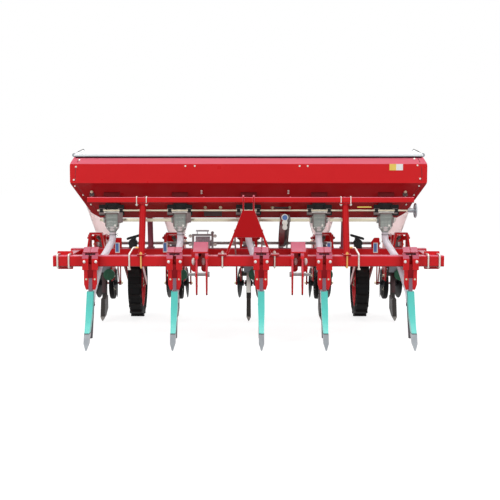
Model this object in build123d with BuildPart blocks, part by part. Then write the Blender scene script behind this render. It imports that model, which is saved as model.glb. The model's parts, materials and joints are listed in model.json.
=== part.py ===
"""Five-row mounted precision seed drill with a full-width fertiliser hopper.

Millimetres. +Z is up, +Y points rearward, away from the tractor, and X runs
across the machine. The origin is on the ground, in the middle of the machine.
"""

import os
from math import atan2, cos, degrees, radians, sin, sqrt

from build123d import *

os.makedirs("parts", exist_ok=True)

# ---- driving dimensions -------------------------------------------------
FRONT = -696.0            # front face of the front beam, along Y
BEAM = 80.0               # square tube of both cross beams
BEAM_WALL = 5.0
BEAM_BOTTOM = 561.0
BEAM_TOP = BEAM_BOTTOM + BEAM
FRONT_BEAM_HALF = 1420.0
REAR_BEAM_HALF = 1395.0
REAR = FRONT + 580.0      # front face of the rear beam
ROW_PITCH = 600.0
ROW_X = [ROW_PITCH * n for n in (-2, -1, 0, 1, 2)]
OPENER_X = (-1140.0, -533.0, 92.0, 546.0, 1169.0)
METER_X = (-1025.0, -515.0, 0.0, 530.0, 1030.0)
WHEEL_X = 945.0           # ground wheels stand between the outer rows
PIN_CLEARANCE = 0.4       # radial, at the turning axles


def side(x, y=0.0, z=0.0):
    """A sketch plane facing +X; its own axes run along Y and Z."""
    return Plane((x, y, z), x_dir=(0, 1, 0), z_dir=(1, 0, 0))


def front(y, x=0.0, z=0.0):
    """A sketch plane facing -Y, towards the tractor; its axes run along X and Z."""
    return Plane((x, y, z), x_dir=(1, 0, 0), z_dir=(0, -1, 0))


def level(z, x=0.0, y=0.0):
    """A sketch plane facing up; its axes run along X and Y."""
    return Plane((x, y, z), x_dir=(1, 0, 0), z_dir=(0, 0, 1))


def save(piece, name):
    """Label a finished piece and write it as its own STEP file."""
    piece.part.label = name
    export_step(piece.part, f"parts/{name}.step")


def repeat(unit, places):
    """Copies of one finished unit at several places, as one node."""
    with BuildPart() as many:
        with Locations(*places):
            add(unit.part)
    return many


# ---- cross beams and rails ----------------------------------------------
def cross_beam(half, face_y):
    """A capped square tube that runs across the machine."""
    middle_y = face_y + BEAM / 2
    middle_z = BEAM_BOTTOM + BEAM / 2
    with BuildPart() as beam:
        with BuildSketch(side(-half, middle_y, middle_z)):
            RectangleRounded(BEAM, BEAM, 8)
        extrude(amount=2 * half)
        with BuildSketch(side(-half + BEAM_WALL, middle_y, middle_z)):
            RectangleRounded(BEAM - 2 * BEAM_WALL, BEAM - 2 * BEAM_WALL, 3)
        extrude(amount=2 * (half - BEAM_WALL), mode=Mode.SUBTRACT)
    return beam


save(cross_beam(FRONT_BEAM_HALF, FRONT), "front_beam")
save(cross_beam(REAR_BEAM_HALF, REAR), "rear_beam")

RAIL = 60.0
RAIL_X = 1345.0
INNER_RAIL_X = 375.0
FLANGE = 12.0
FLANGE_WIDE = 112.0
FLANGE_TALL = 132.0
RAIL_Z = BEAM_BOTTOM + BEAM / 2
GAP_START = FRONT + BEAM
U_LEG_SPACING = 82.0      # between the two U-bolts of one flange
U_RADIUS = 7.0

with BuildPart() as frame_rails:
    for x in (-RAIL_X, RAIL_X):
        with BuildSketch(front(GAP_START, x, RAIL_Z)):
            RectangleRounded(FLANGE_WIDE, FLANGE_TALL, 6)
            with GridLocations(U_LEG_SPACING, BEAM + 2 * U_RADIUS, 2, 2):
                Circle(U_RADIUS + 0.5, mode=Mode.SUBTRACT)
        extrude(amount=-FLANGE)
        with BuildSketch(front(GAP_START + FLANGE, x, RAIL_Z)):
            RectangleRounded(RAIL, RAIL, 6)
            RectangleRounded(RAIL - 8, RAIL - 8, 3, mode=Mode.SUBTRACT)
        extrude(amount=-(REAR - GAP_START - FLANGE))
    for x in (-INNER_RAIL_X, INNER_RAIL_X):
        with BuildSketch(front(GAP_START, x, RAIL_Z)):
            RectangleRounded(RAIL, RAIL, 6)
            RectangleRounded(RAIL - 8, RAIL - 8, 3, mode=Mode.SUBTRACT)
        extrude(amount=-(REAR - GAP_START))
save(frame_rails, "frame_rails")


def u_bolt(corner, leg_end, nut_at):
    """A square-bend bolt round the front beam, drawn in its own plane.

    Local x runs along the legs from the bend, local y across them. The
    beam's far face is at x = 0, and the legs stand either side of it.
    """
    reach = BEAM / 2 + U_RADIUS
    with BuildPart() as bolt:
        with BuildLine(Plane.XY):
            FilletPolyline(
                (leg_end, -reach), (-U_RADIUS, -reach),
                (-U_RADIUS, reach), (leg_end, reach), radius=corner)
        with BuildSketch(Plane((leg_end, -reach, 0), x_dir=(0, 0, 1), z_dir=(-1, 0, 0))):
            Circle(U_RADIUS)
        sweep()
        with BuildSketch(Plane((nut_at, 0, 0), x_dir=(0, 1, 0), z_dir=(1, 0, 0))):
            with Locations((-reach, 0), (reach, 0)):
                RegularPolygon(12, 6)
        extrude(amount=11)
    return bolt


MAST_U_X = 190.0
POST_X = (-780.0, 715.0)
POST_RADIUS = 24.0
POST_PLATE = 10.0
POST_FOOT = BEAM + 36
CARRIER_Y = FRONT + 170
CARRIER_Z = 1039.0
TIE_OUT = 85.0            # from a post to its bent tie rod
TIE_Z = 695.0
side_u = u_bolt(12, BEAM + FLANGE + 16, BEAM + FLANGE)
mast_u = u_bolt(12, BEAM + 12 + 16, BEAM + 12)
post_u = u_bolt(12, BEAM + POST_PLATE + 18, BEAM + POST_PLATE)
tie_y = FRONT + BEAM / 2 + (CARRIER_Y - FRONT - BEAM / 2) * (TIE_Z - BEAM_TOP) / (CARRIER_Z - BEAM_TOP)
with BuildPart() as frame_ubolts:
    for x in (-RAIL_X, RAIL_X):
        for offset in (-U_LEG_SPACING / 2, U_LEG_SPACING / 2):
            place = Plane((x + offset, FRONT, RAIL_Z), x_dir=(0, 1, 0), z_dir=(1, 0, 0))
            with Locations(place.location):
                add(side_u.part)
    for x in (-MAST_U_X, MAST_U_X):
        place = Plane((x, FRONT + BEAM / 2, BEAM_BOTTOM), x_dir=(0, 0, 1), z_dir=(1, 0, 0))
        with Locations(place.location):
            add(mast_u.part)
    for x, s in zip(POST_X, (-1, 1)):
        place = Plane((x, FRONT + BEAM / 2, BEAM_BOTTOM), x_dir=(0, 0, 1), z_dir=(1, 0, 0))
        with Locations(place.location):
            add(post_u.part)
        low = (x + s * TIE_OUT, FRONT - U_RADIUS, BEAM_BOTTOM - 14)
        with BuildLine():
            FilletPolyline(
                low, (x + s * TIE_OUT, FRONT - U_RADIUS, BEAM_TOP + 10),
                (x + s * 62, tie_y, TIE_Z), (x + s * (POST_RADIUS + 0.5), tie_y, TIE_Z),
                radius=[14, 12])
        with BuildSketch(Plane(low, x_dir=(1, 0, 0), z_dir=(0, 0, 1))):
            Circle(U_RADIUS)
        sweep()
        with BuildSketch(level(BEAM_BOTTOM - 22, x + s * TIE_OUT, FRONT - U_RADIUS)):
            RegularPolygon(12, 6)
        extrude(amount=10)
save(frame_ubolts, "frame_ubolts")

# ---- three-point hitch ----------------------------------------------------
LUG_INNER = 31.5          # half the gap between the mast's two lugs
LUG_THICK = 12.0
LUG_TOP = 1078.0
BEND_Z = 968.0            # where the flats start to spread
FOOT_X = 154.0
FOOT_OUT = 222.0
FOOT_THICK = 12.0
MAST_FRONT = FRONT + 30
MAST_DEPTH = 50.0
TOP_PIN_RADIUS = 9.75     # category 1 top link
TOP_PIN_Z = 1050.0
PLATE_BOTTOM = 771.0
STAY_X = 96.0

with BuildPart() as hitch_mast:
    for s in (-1, 1):
        inner = LUG_INNER
        outer = LUG_INNER + LUG_THICK
        with BuildSketch(front(MAST_FRONT)):
            with BuildLine():
                Polyline(
                    (s * inner, LUG_TOP), (s * outer, LUG_TOP),
                    (s * outer, BEND_Z), (s * (FOOT_X + LUG_THICK), BEAM_TOP + FOOT_THICK),
                    (s * FOOT_OUT, BEAM_TOP + FOOT_THICK), (s * FOOT_OUT, BEAM_TOP),
                    (s * (FOOT_X - 4), BEAM_TOP), (s * inner, BEND_Z - 3),
                    close=True)
            make_face()
        extrude(amount=-MAST_DEPTH)
        with BuildSketch(level(BEAM_TOP, s * MAST_U_X, FRONT + BEAM / 2)):
            Rectangle(2 * (FOOT_OUT - MAST_U_X), BEAM + 40)
            with Locations((0, -BEAM / 2 - U_RADIUS), (0, BEAM / 2 + U_RADIUS)):
                Circle(U_RADIUS + 0.5, mode=Mode.SUBTRACT)
        extrude(amount=FOOT_THICK)
    spread = (FOOT_X - LUG_INNER) / (BEND_Z - BEAM_TOP)
    low_half = LUG_INNER + (BEND_Z - PLATE_BOTTOM) * spread
    with BuildSketch(front(MAST_FRONT + 8)):
        with BuildLine():
            Polyline(
                (-LUG_INNER - 4, BEND_Z), (LUG_INNER + 4, BEND_Z),
                (low_half + 4, PLATE_BOTTOM), (-low_half - 4, PLATE_BOTTOM), close=True)
        make_face()
    extrude(amount=8)
    with BuildSketch(side(0, MAST_FRONT + MAST_DEPTH / 2 - 6, TOP_PIN_Z)):
        Circle(TOP_PIN_RADIUS)
    extrude(amount=60, both=True, mode=Mode.SUBTRACT)
    lug_edges = hitch_mast.edges().filter_by(Axis.X).group_by(Axis.Z)[-1]
    fillet(lug_edges, 22)
    for s in (-1, 1):
        with BuildSketch(side(s * STAY_X)):
            with BuildLine():
                Polyline(
                    (MAST_FRONT + MAST_DEPTH, 826), (MAST_FRONT + MAST_DEPTH, 778),
                    (REAR, 580), (REAR, 628), close=True)
            make_face()
        extrude(amount=s * 10)
save(hitch_mast, "hitch_mast")

# Lower hitch: a box hook over the beam, with two plates hanging in front of it.
HITCH_X = (-335.0, 350.0)
PLATE_INNER = 30.0
PLATE_THICK = 12.0
HITCH_PIN_Y = FRONT - 118
HITCH_PIN_Z = 519.0
HITCH_PIN_RADIUS = 11.0   # category 1 lower link
PIN_STUB = 44.0
PIN_BODY_RADIUS = 12.5
PIN_COLLAR_RADIUS = 19.0
PIN_COLLAR = 6.0
SECOND_HOLE = (FRONT - 106, 432.0)
PLATE_FOOT = (FRONT - 104, 394.0)
FOOT_RADIUS = 28.0
HOOK_SPREAD = 20.0        # how far the hook stands out past the outer plate


def hitch_clevis(outward):
    """One hook with its two plates; outward is the side away from the mast."""
    with BuildPart() as clevis:
        for s in (-1, 1):
            with BuildSketch(side(s * PLATE_INNER)):
                with BuildLine():
                    Line((FRONT - 46, 470), (FRONT, BEAM_BOTTOM))
                    Polyline(
                        (FRONT, BEAM_BOTTOM), (FRONT, BEAM_TOP), (FRONT + 70, BEAM_TOP),
                        (FRONT + 60, 716), (FRONT + 20, 730), (FRONT - 88, 668),
                        (HITCH_PIN_Y - 36, HITCH_PIN_Z + 10), (HITCH_PIN_Y - 36, HITCH_PIN_Z - 22),
                        (PLATE_FOOT[0] - FOOT_RADIUS, PLATE_FOOT[1]))
                    ThreePointArc(
                        (PLATE_FOOT[0] - FOOT_RADIUS, PLATE_FOOT[1]),
                        (PLATE_FOOT[0], PLATE_FOOT[1] - FOOT_RADIUS),
                        (PLATE_FOOT[0] + FOOT_RADIUS, PLATE_FOOT[1]))
                    Line((PLATE_FOOT[0] + FOOT_RADIUS, PLATE_FOOT[1]), (FRONT - 46, 470))
                make_face()
                with Locations((HITCH_PIN_Y, HITCH_PIN_Z)):
                    Circle(PIN_BODY_RADIUS + 0.1, mode=Mode.SUBTRACT)
                with Locations(SECOND_HOLE):
                    Circle(HITCH_PIN_RADIUS + 0.5, mode=Mode.SUBTRACT)
            extrude(amount=s * PLATE_THICK)
            with BuildSketch(front(FRONT, s * (PLATE_INNER + PLATE_THICK / 2) + outward * 20)):
                with BuildLine():
                    Polyline((-24, 690), (24, 690), (24, 548))
                    ThreePointArc((24, 548), (0, 524), (-24, 548))
                    Line((-24, 548), (-24, 690))
                make_face()
            extrude(amount=10)
        width = 2 * (PLATE_INNER + PLATE_THICK) + HOOK_SPREAD
        with BuildSketch(side(outward * HOOK_SPREAD / 2)):
            with BuildLine():
                Polyline(
                    (FRONT + 70, BEAM_TOP), (FRONT + 78, BEAM_TOP), (FRONT + 68, 722),
                    (FRONT + 20, 740), (FRONT - 88, 678), (FRONT - 88, 668),
                    (FRONT + 20, 730), (FRONT + 60, 716), close=True)
            make_face()
        extrude(amount=width / 2, both=True)
    return clevis


with BuildPart() as hitch_clevises:
    for x, outward in zip(HITCH_X, (-1, 1)):
        with Locations((x, 0, 0)):
            add(hitch_clevis(outward).part)
save(hitch_clevises, "hitch_clevises")

with BuildPart() as hitch_pins:
    for x, outward in zip(HITCH_X, (-1, 1)):
        plates = PLATE_INNER + PLATE_THICK
        for start, radius, length in (
                (-plates, PIN_BODY_RADIUS, 2 * plates),
                (plates, PIN_COLLAR_RADIUS, PIN_COLLAR),
                (plates + PIN_COLLAR, HITCH_PIN_RADIUS, PIN_STUB)):
            with BuildSketch(side(x + outward * start, HITCH_PIN_Y, HITCH_PIN_Z)):
                Circle(radius)
            extrude(amount=outward * length)
        with BuildSketch(side(x - outward * plates, HITCH_PIN_Y, HITCH_PIN_Z)):
            RegularPolygon(21, 6)
        extrude(amount=-outward * 15)
save(hitch_pins, "hitch_pins")

# ---- fertiliser hopper ------------------------------------------------------
SHEET = 4.0
HOPPER_HALF = 1330.0
HOPPER_RIM_HALF = 1300.0
HOPPER_LOW_HALF = 1192.0
HOPPER_FLOOR_HALF = 1131.0
HOPPER_FRONT = FRONT + 240
HOPPER_BACK = HOPPER_FRONT + 520
RIM_INSET = 30.0
FLOOR_FRONT = HOPPER_FRONT + 160
FLOOR_BACK = HOPPER_BACK - 160
RIM_Z = 1355.0
SHOULDER_Z = 1303.0
KNEE_Z = 1161.0
LOW_Z = 930.0             # the ends flatten out below this
FLOOR_Z = 894.0
SHOULDER_ROUND = 80.0
KNEE_ROUND = 60.0
LOW_ROUND = 50.0


def hopper_section(t):
    """Front to rear outline of the bin, set in by t all round."""
    return [
        (HOPPER_FRONT + RIM_INSET + t, RIM_Z), (HOPPER_FRONT + t, SHOULDER_Z),
        (HOPPER_FRONT + t, KNEE_Z), (FLOOR_FRONT + t * 0.6, FLOOR_Z + t),
        (FLOOR_BACK - t * 0.6, FLOOR_Z + t), (HOPPER_BACK - t, KNEE_Z),
        (HOPPER_BACK - t, SHOULDER_Z), (HOPPER_BACK - RIM_INSET - t, RIM_Z)]


def hopper_elevation(t):
    """End to end outline of the bin, set in by t at the ends only, and its corner radii."""
    half = [
        (HOPPER_RIM_HALF - t, RIM_Z, 0), (HOPPER_HALF - t, SHOULDER_Z, SHOULDER_ROUND - t),
        (HOPPER_HALF - t, KNEE_Z, KNEE_ROUND - t),
        (HOPPER_LOW_HALF - 1.2 * t, LOW_Z + 0.4 * t, LOW_ROUND - t),
        (HOPPER_FLOOR_HALF - 2 * t, FLOOR_Z, 0)]
    outline = half + [(-x, z, radius) for x, z, radius in reversed(half)]
    return [(x, z) for x, z, radius in outline], [radius for x, z, radius in outline]


with BuildPart() as hopper_trough:
    with BuildSketch(side(-HOPPER_HALF)):
        with BuildLine():
            Polyline(*(hopper_section(0) + hopper_section(SHEET)[::-1]), close=True)
        make_face()
    extrude(amount=2 * HOPPER_HALF)
    with BuildSketch(front(HOPPER_FRONT)):
        with BuildLine():
            outline, corners = hopper_elevation(0)
            FilletPolyline(*outline, radius=corners, close=True)
        make_face()
    extrude(amount=-(HOPPER_BACK - HOPPER_FRONT), mode=Mode.INTERSECT)
save(hopper_trough, "hopper_trough")

with BuildPart() as hopper_ends:
    with BuildSketch(front(HOPPER_FRONT)):
        with BuildLine():
            outline, corners = hopper_elevation(0)
            FilletPolyline(*outline, radius=corners, close=True)
        make_face()
        with BuildLine():
            outline, corners = hopper_elevation(SHEET)
            FilletPolyline(*outline, radius=corners, close=True)
        make_face(mode=Mode.SUBTRACT)
    extrude(amount=-(HOPPER_BACK - HOPPER_FRONT))
    with BuildSketch(side(-HOPPER_HALF)):
        with BuildLine():
            Polyline(*hopper_section(SHEET), close=True)
        make_face()
    extrude(amount=2 * HOPPER_HALF, mode=Mode.INTERSECT)
save(hopper_ends, "hopper_ends")

# ---- lid --------------------------------------------------------------------
LID_GAP = 5.0
LID_BOTTOM = RIM_Z + LID_GAP
LID_HALF = 1302.0
LID_FRONT = HOPPER_FRONT + RIM_INSET - 4
LID_BACK = HOPPER_BACK - RIM_INSET + 4
LID_SKIRT = 14.0
LID_TOP = 1417.0
LID_SHEET = 3.0
HINGE_Y = LID_BACK + 14
HINGE_Z = RIM_Z + 4
HINGE_PIN = 4.0
HINGE_X = (-1050.0, -350.0, 350.0, 1050.0)
LID_MIDDLE = (LID_FRONT + LID_BACK) / 2
LID_DEPTH = LID_BACK - LID_FRONT


def lid_shell(inset):
    """The lid's skirt and its hipped top, set in by inset."""
    with BuildPart() as shell:
        with BuildSketch(level(LID_BOTTOM, 0, LID_MIDDLE)):
            Rectangle(2 * (LID_HALF - inset), LID_DEPTH - 2 * inset)
        extrude(amount=LID_SKIRT - inset)
        with BuildSketch(level(LID_BOTTOM + LID_SKIRT - inset, 0, LID_MIDDLE)):
            Rectangle(2 * (LID_HALF - inset), LID_DEPTH - 2 * inset)
        with BuildSketch(level(LID_TOP - inset, 0, LID_MIDDLE)):
            Rectangle(2 * (LID_HALF - 55 - inset), LID_DEPTH * 0.42 - 2 * inset)
        loft()
    return shell


lid_outside = lid_shell(0)
lid_inside = lid_shell(LID_SHEET)
with BuildPart() as hopper_lid:
    add(lid_outside.part)
    add(lid_inside.part, mode=Mode.SUBTRACT)
    for x in HINGE_X:
        with BuildSketch(side(x, HINGE_Y, HINGE_Z)):
            Circle(8)
            with Locations((-8, 6)):
                Rectangle(14, 4)
            Circle(HINGE_PIN + PIN_CLEARANCE, mode=Mode.SUBTRACT)
        extrude(amount=20, both=True)
save(hopper_lid, "hopper_lid")

with BuildPart() as lid_hinges:
    for x in HINGE_X:
        with BuildSketch(side(x, HINGE_Y, HINGE_Z)):
            Circle(HINGE_PIN)
        extrude(amount=34, both=True)
        for s in (-1, 1):
            with BuildSketch(side(x + s * 24)):
                with BuildLine():
                    Polyline(
                        (HINGE_Y - 7, HINGE_Z + 5), (HINGE_Y + 7, HINGE_Z + 5),
                        (HOPPER_BACK + 2, SHOULDER_Z), (HOPPER_BACK, SHOULDER_Z),
                        (HINGE_Y - 7, SHOULDER_Z + (HOPPER_BACK - HINGE_Y + 7) / RIM_INSET * 52),
                        close=True)
                make_face()
            extrude(amount=s * 6)
save(lid_hinges, "lid_hinges")

# ---- hopper supports ---------------------------------------------------------
CARRIER = 40.0
CARRIER_ENDS = (-1190.0, 1220.0)
REAR_POST_X = (-770.0, 745.0)
REAR_POST_RADIUS = 21.5

with BuildPart() as hopper_beam:
    with BuildSketch(side(CARRIER_ENDS[0], CARRIER_Y, CARRIER_Z)):
        RectangleRounded(CARRIER, CARRIER, 5)
        RectangleRounded(CARRIER - 6, CARRIER - 6, 2, mode=Mode.SUBTRACT)
    extrude(amount=CARRIER_ENDS[1] - CARRIER_ENDS[0])

def post(x, foot_y, foot_z, head_y, head_z, radius, foot_deep):
    """A round post that leans from its foot plate to its head plate."""
    lean = degrees(atan2(head_y - foot_y, head_z - foot_z))
    with BuildPart() as leaning:
        with BuildSketch(level(foot_z + POST_PLATE, x, foot_y)):
            Circle(radius)
        with BuildSketch(level(head_z - POST_PLATE, x, head_y)):
            Circle(radius)
        loft()
        with BuildSketch(level(foot_z, x, foot_y)):
            RectangleRounded(56, foot_deep, 8)
        extrude(amount=POST_PLATE)
        with BuildSketch(level(head_z - POST_PLATE, x, head_y)):
            RectangleRounded(80, 56, 6)
        extrude(amount=POST_PLATE)
    return leaning


with BuildPart() as hopper_posts:
    for x in POST_X:
        add(post(
            x, FRONT + BEAM / 2, BEAM_TOP, CARRIER_Y, CARRIER_Z - CARRIER / 2, POST_RADIUS,
            POST_FOOT).part)
        with BuildSketch(level(BEAM_TOP, x, FRONT + BEAM / 2)):
            with Locations((0, -BEAM / 2 - U_RADIUS), (0, BEAM / 2 + U_RADIUS)):
                Circle(U_RADIUS + 0.5)
        extrude(amount=POST_PLATE, mode=Mode.SUBTRACT)
    for x in REAR_POST_X:
        add(post(x, REAR + 38, BEAM_TOP, FLOOR_BACK - 30, FLOOR_Z, REAR_POST_RADIUS, 76).part)
save(hopper_posts, "hopper_posts")

SLOPE = (FLOOR_FRONT - HOPPER_FRONT) / (KNEE_Z - FLOOR_Z)
BRACKET_X = (-1170.0, -780.0, -334.0, 312.0, 715.0, 1170.0)
with BuildPart() as carrier_bracket:
    low_z = CARRIER_Z - 20
    high_z = CARRIER_Z + 20
    with BuildSketch(side(0)):
        with BuildLine():
            Polyline(
                (CARRIER_Y + CARRIER / 2, low_z), (CARRIER_Y + CARRIER / 2, high_z),
                (HOPPER_FRONT + (KNEE_Z - high_z) * SLOPE, high_z),
                (HOPPER_FRONT + (KNEE_Z - low_z) * SLOPE, low_z), close=True)
        make_face()
    extrude(amount=5, both=True)
with hopper_beam:
    with Locations(*[(x, 0, 0) for x in BRACKET_X]):
        add(carrier_bracket.part)
save(hopper_beam, "hopper_beam")

# ---- fertiliser meters ---------------------------------------------------------
THROAT_TOP = 1008.0
THROAT_BOTTOM = 958.0
HOUSING_BOTTOM = 819.0
OUTLET_BOTTOM = 789.0
METER_FRONT = FRONT + 262
METER_BACK = FRONT + 352
METER_Y = (METER_FRONT + METER_BACK) / 2
METER_SHAFT_Z = 882.0
ROD_Y = FRONT + 248
ROD_Z = 957.0
ROD_RADIUS = 6.0
EAR_X = 70.0              # ears that carry the rod beside each meter
EAR_Z = 959.0
EAR_WIDE = 48.0
EAR_TALL = 82.0
EAR_THICK = 8.0
SHAFT_FLATS = 10.5
HOUSING_BORE = 11.0
RIB_X = (-34.0, -12.0, 12.0, 34.0)

with BuildPart() as throat:
    with BuildSketch(side(0)):
        with BuildLine():
            Polyline(
                (METER_FRONT + 6, THROAT_BOTTOM),
                (HOPPER_FRONT + (KNEE_Z - THROAT_BOTTOM) * SLOPE, THROAT_BOTTOM),
                (HOPPER_FRONT + (KNEE_Z - THROAT_TOP) * SLOPE, THROAT_TOP),
                (METER_FRONT + 24, THROAT_TOP), close=True)
        make_face()
    extrude(amount=50, both=True)
    for s in (-1, 1):
        with BuildSketch(front(METER_FRONT, s * EAR_X, EAR_Z)):
            RectangleRounded(EAR_WIDE, EAR_TALL, 8)
        extrude(amount=EAR_THICK)
        with BuildSketch(side(s * 48, METER_FRONT + 8, THROAT_BOTTOM + 26)):
            Rectangle(28, 32)
        extrude(amount=-s * 10)
        with BuildSketch(side(s * (EAR_X - 8), ROD_Y, ROD_Z)):
            Rectangle(20, 26)
        extrude(amount=s * 24)
    with BuildSketch(side(0, ROD_Y, ROD_Z)):
        Circle(ROD_RADIUS)
    extrude(amount=120, both=True, mode=Mode.SUBTRACT)
save(repeat(throat, [(x, 0, 0) for x in METER_X]), "meter_throats")

with BuildPart() as housing:
    with BuildSketch(level(THROAT_BOTTOM, 0, METER_Y)):
        RectangleRounded(124, METER_BACK - METER_FRONT, 10)
    extrude(amount=-12)
    with BuildSketch(level(THROAT_BOTTOM - 12, 0, METER_Y)):
        RectangleRounded(112, METER_BACK - METER_FRONT - 6, 12)
    with BuildSketch(level(HOUSING_BOTTOM, 0, METER_Y)):
        RectangleRounded(92, METER_BACK - METER_FRONT - 10, 12)
    loft()
    with BuildSketch(level(HOUSING_BOTTOM, 0, METER_Y)):
        RectangleRounded(88, 70, 12)
    with BuildSketch(level(OUTLET_BOTTOM, 0, METER_Y)):
        Circle(23)
    loft()
    with BuildSketch(level(OUTLET_BOTTOM + 10, 0, METER_Y)):
        Circle(28)
    extrude(amount=9)
    with BuildSketch(front(METER_FRONT + 14)):
        for x in RIB_X:
            with Locations((x, HOUSING_BOTTOM + 66)):
                RectangleRounded(5, 108, 2)
    extrude(amount=14)
    with BuildSketch(side(-64, METER_Y, METER_SHAFT_Z)):
        Circle(24)
    extrude(amount=128)
    with BuildSketch(side(0, METER_Y, METER_SHAFT_Z)):
        Circle(HOUSING_BORE)
    extrude(amount=80, both=True, mode=Mode.SUBTRACT)
save(repeat(housing, [(x, 0, 0) for x in METER_X]), "meter_housings")

with BuildPart() as meter_shafts:
    with BuildSketch(side(-1120, METER_Y, METER_SHAFT_Z)):
        RegularPolygon(SHAFT_FLATS, 6)
    extrude(amount=1120 + 1110)
    with BuildSketch(side(-1130, ROD_Y, ROD_Z)):
        Circle(ROD_RADIUS)
    extrude(amount=1130 + 1190)
save(meter_shafts, "meter_shafts")

WHEEL_RING = 56.0
with BuildPart() as rate_handwheel:
    with BuildSketch(side(1190, ROD_Y, ROD_Z)):
        Circle(16)
    extrude(amount=64)
    with BuildSketch(Plane((1246, ROD_Y, ROD_Z + WHEEL_RING - 7), x_dir=(1, 0, 0), z_dir=(0, 1, 0))):
        Circle(7)
    revolve(axis=Axis((1246, ROD_Y, ROD_Z), (1, 0, 0)))
    with BuildSketch(side(1242, ROD_Y, ROD_Z)):
        with PolarLocations(26, 5):
            Rectangle(52, 9)
    extrude(amount=8)
save(rate_handwheel, "rate_handwheel")

# ---- fertiliser shanks on the front beam ----------------------------------------
SHANK_TOP = (FRONT - 34.0, 560.0)
SHANK_CURVE = 640.0       # centre-line radius: upright at the clamp, raked at the point
SHANK_DEPTH = 34.0
SHANK_WIDE = 25.0
SLEEVE_TOP = 390.0
SLEEVE_BOTTOM = 110.0
CLAMP_FACE = FRONT - 56
CLAMP_LOW = 400.0
CLAMP_STEP = 543.0        # the wide upper flange ends here
CLAMP_REACH = 28.0        # how far the clamp hooks back over and under the beam
CLAMP_ROOF_HALF = 52.0
CLAMP_BROW_HALF = 57.0


def band(inner, outer, low_z, high_z):
    """The two arcs of a curved strip beside the shank's centre line."""
    middle = SHANK_TOP[0] - SHANK_CURVE
    heights = (low_z, (low_z + high_z) / 2, high_z)

    def arc(offset):
        radius = SHANK_CURVE + offset
        return [(middle + sqrt(radius ** 2 - (z - SHANK_TOP[1]) ** 2), z) for z in heights]

    return arc(inner), arc(outer)[::-1]


with BuildPart() as shank:
    with BuildSketch(side(0)):
        back_arc, front_arc = band(-SHANK_DEPTH / 2, SHANK_DEPTH / 2, SLEEVE_BOTTOM, 556)
        with BuildLine():
            ThreePointArc(*back_arc)
            Line(back_arc[-1], front_arc[0])
            ThreePointArc(*front_arc)
            Line(front_arc[-1], back_arc[0])
        make_face()
    extrude(amount=SHANK_WIDE / 2, both=True)
save(repeat(shank, [(x, 0, 0) for x in OPENER_X]), "shanks")

with BuildPart() as sleeve:
    with BuildSketch(side(0)):
        back_arc, front_arc = band(-SHANK_DEPTH / 2 - 9, SHANK_DEPTH / 2 + 9, SLEEVE_BOTTOM, SLEEVE_TOP)
        with BuildLine():
            ThreePointArc(*back_arc)
            Line(back_arc[-1], front_arc[0])
            ThreePointArc(*front_arc)
            Line(front_arc[-1], back_arc[0])
        make_face()
    extrude(amount=24, both=True)
    with BuildSketch(front(FRONT)):
        with BuildLine():
            Polyline(
                (-24, SLEEVE_TOP), (24, SLEEVE_TOP), (25, 300), (17.5, SLEEVE_BOTTOM),
                (-17.5, SLEEVE_BOTTOM), (-25, 300), close=True)
        make_face()
    extrude(amount=400, both=True, mode=Mode.INTERSECT)
    add(shank.part, mode=Mode.SUBTRACT)
save(repeat(sleeve, [(x, 0, 0) for x in OPENER_X]), "shank_sleeves")

POINT_TIP = 0.0
with BuildPart() as point:
    with BuildSketch(side(0)):
        with BuildLine():
            arc_middle = SHANK_TOP[0] - SHANK_CURVE
            heel = arc_middle + sqrt((SHANK_CURVE + 26) ** 2 - (SLEEVE_BOTTOM - SHANK_TOP[1]) ** 2)
            toe = arc_middle + sqrt((SHANK_CURVE - 26) ** 2 - (SLEEVE_BOTTOM - SHANK_TOP[1]) ** 2)
            Polyline(
                (heel, SLEEVE_BOTTOM), (toe, SLEEVE_BOTTOM), (FRONT - 300, POINT_TIP),
                (FRONT - 285, POINT_TIP), close=True)
        make_face()
    extrude(amount=19, both=True)
    with BuildSketch(front(FRONT)):
        with BuildLine():
            Polyline(
                (-19, SLEEVE_BOTTOM), (19, SLEEVE_BOTTOM), (19, 46), (4, POINT_TIP),
                (-4, POINT_TIP), (-19, 46), close=True)
        make_face()
    extrude(amount=400, both=True, mode=Mode.INTERSECT)
save(repeat(point, [(x, 0, 0) for x in OPENER_X]), "shank_points")

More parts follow.
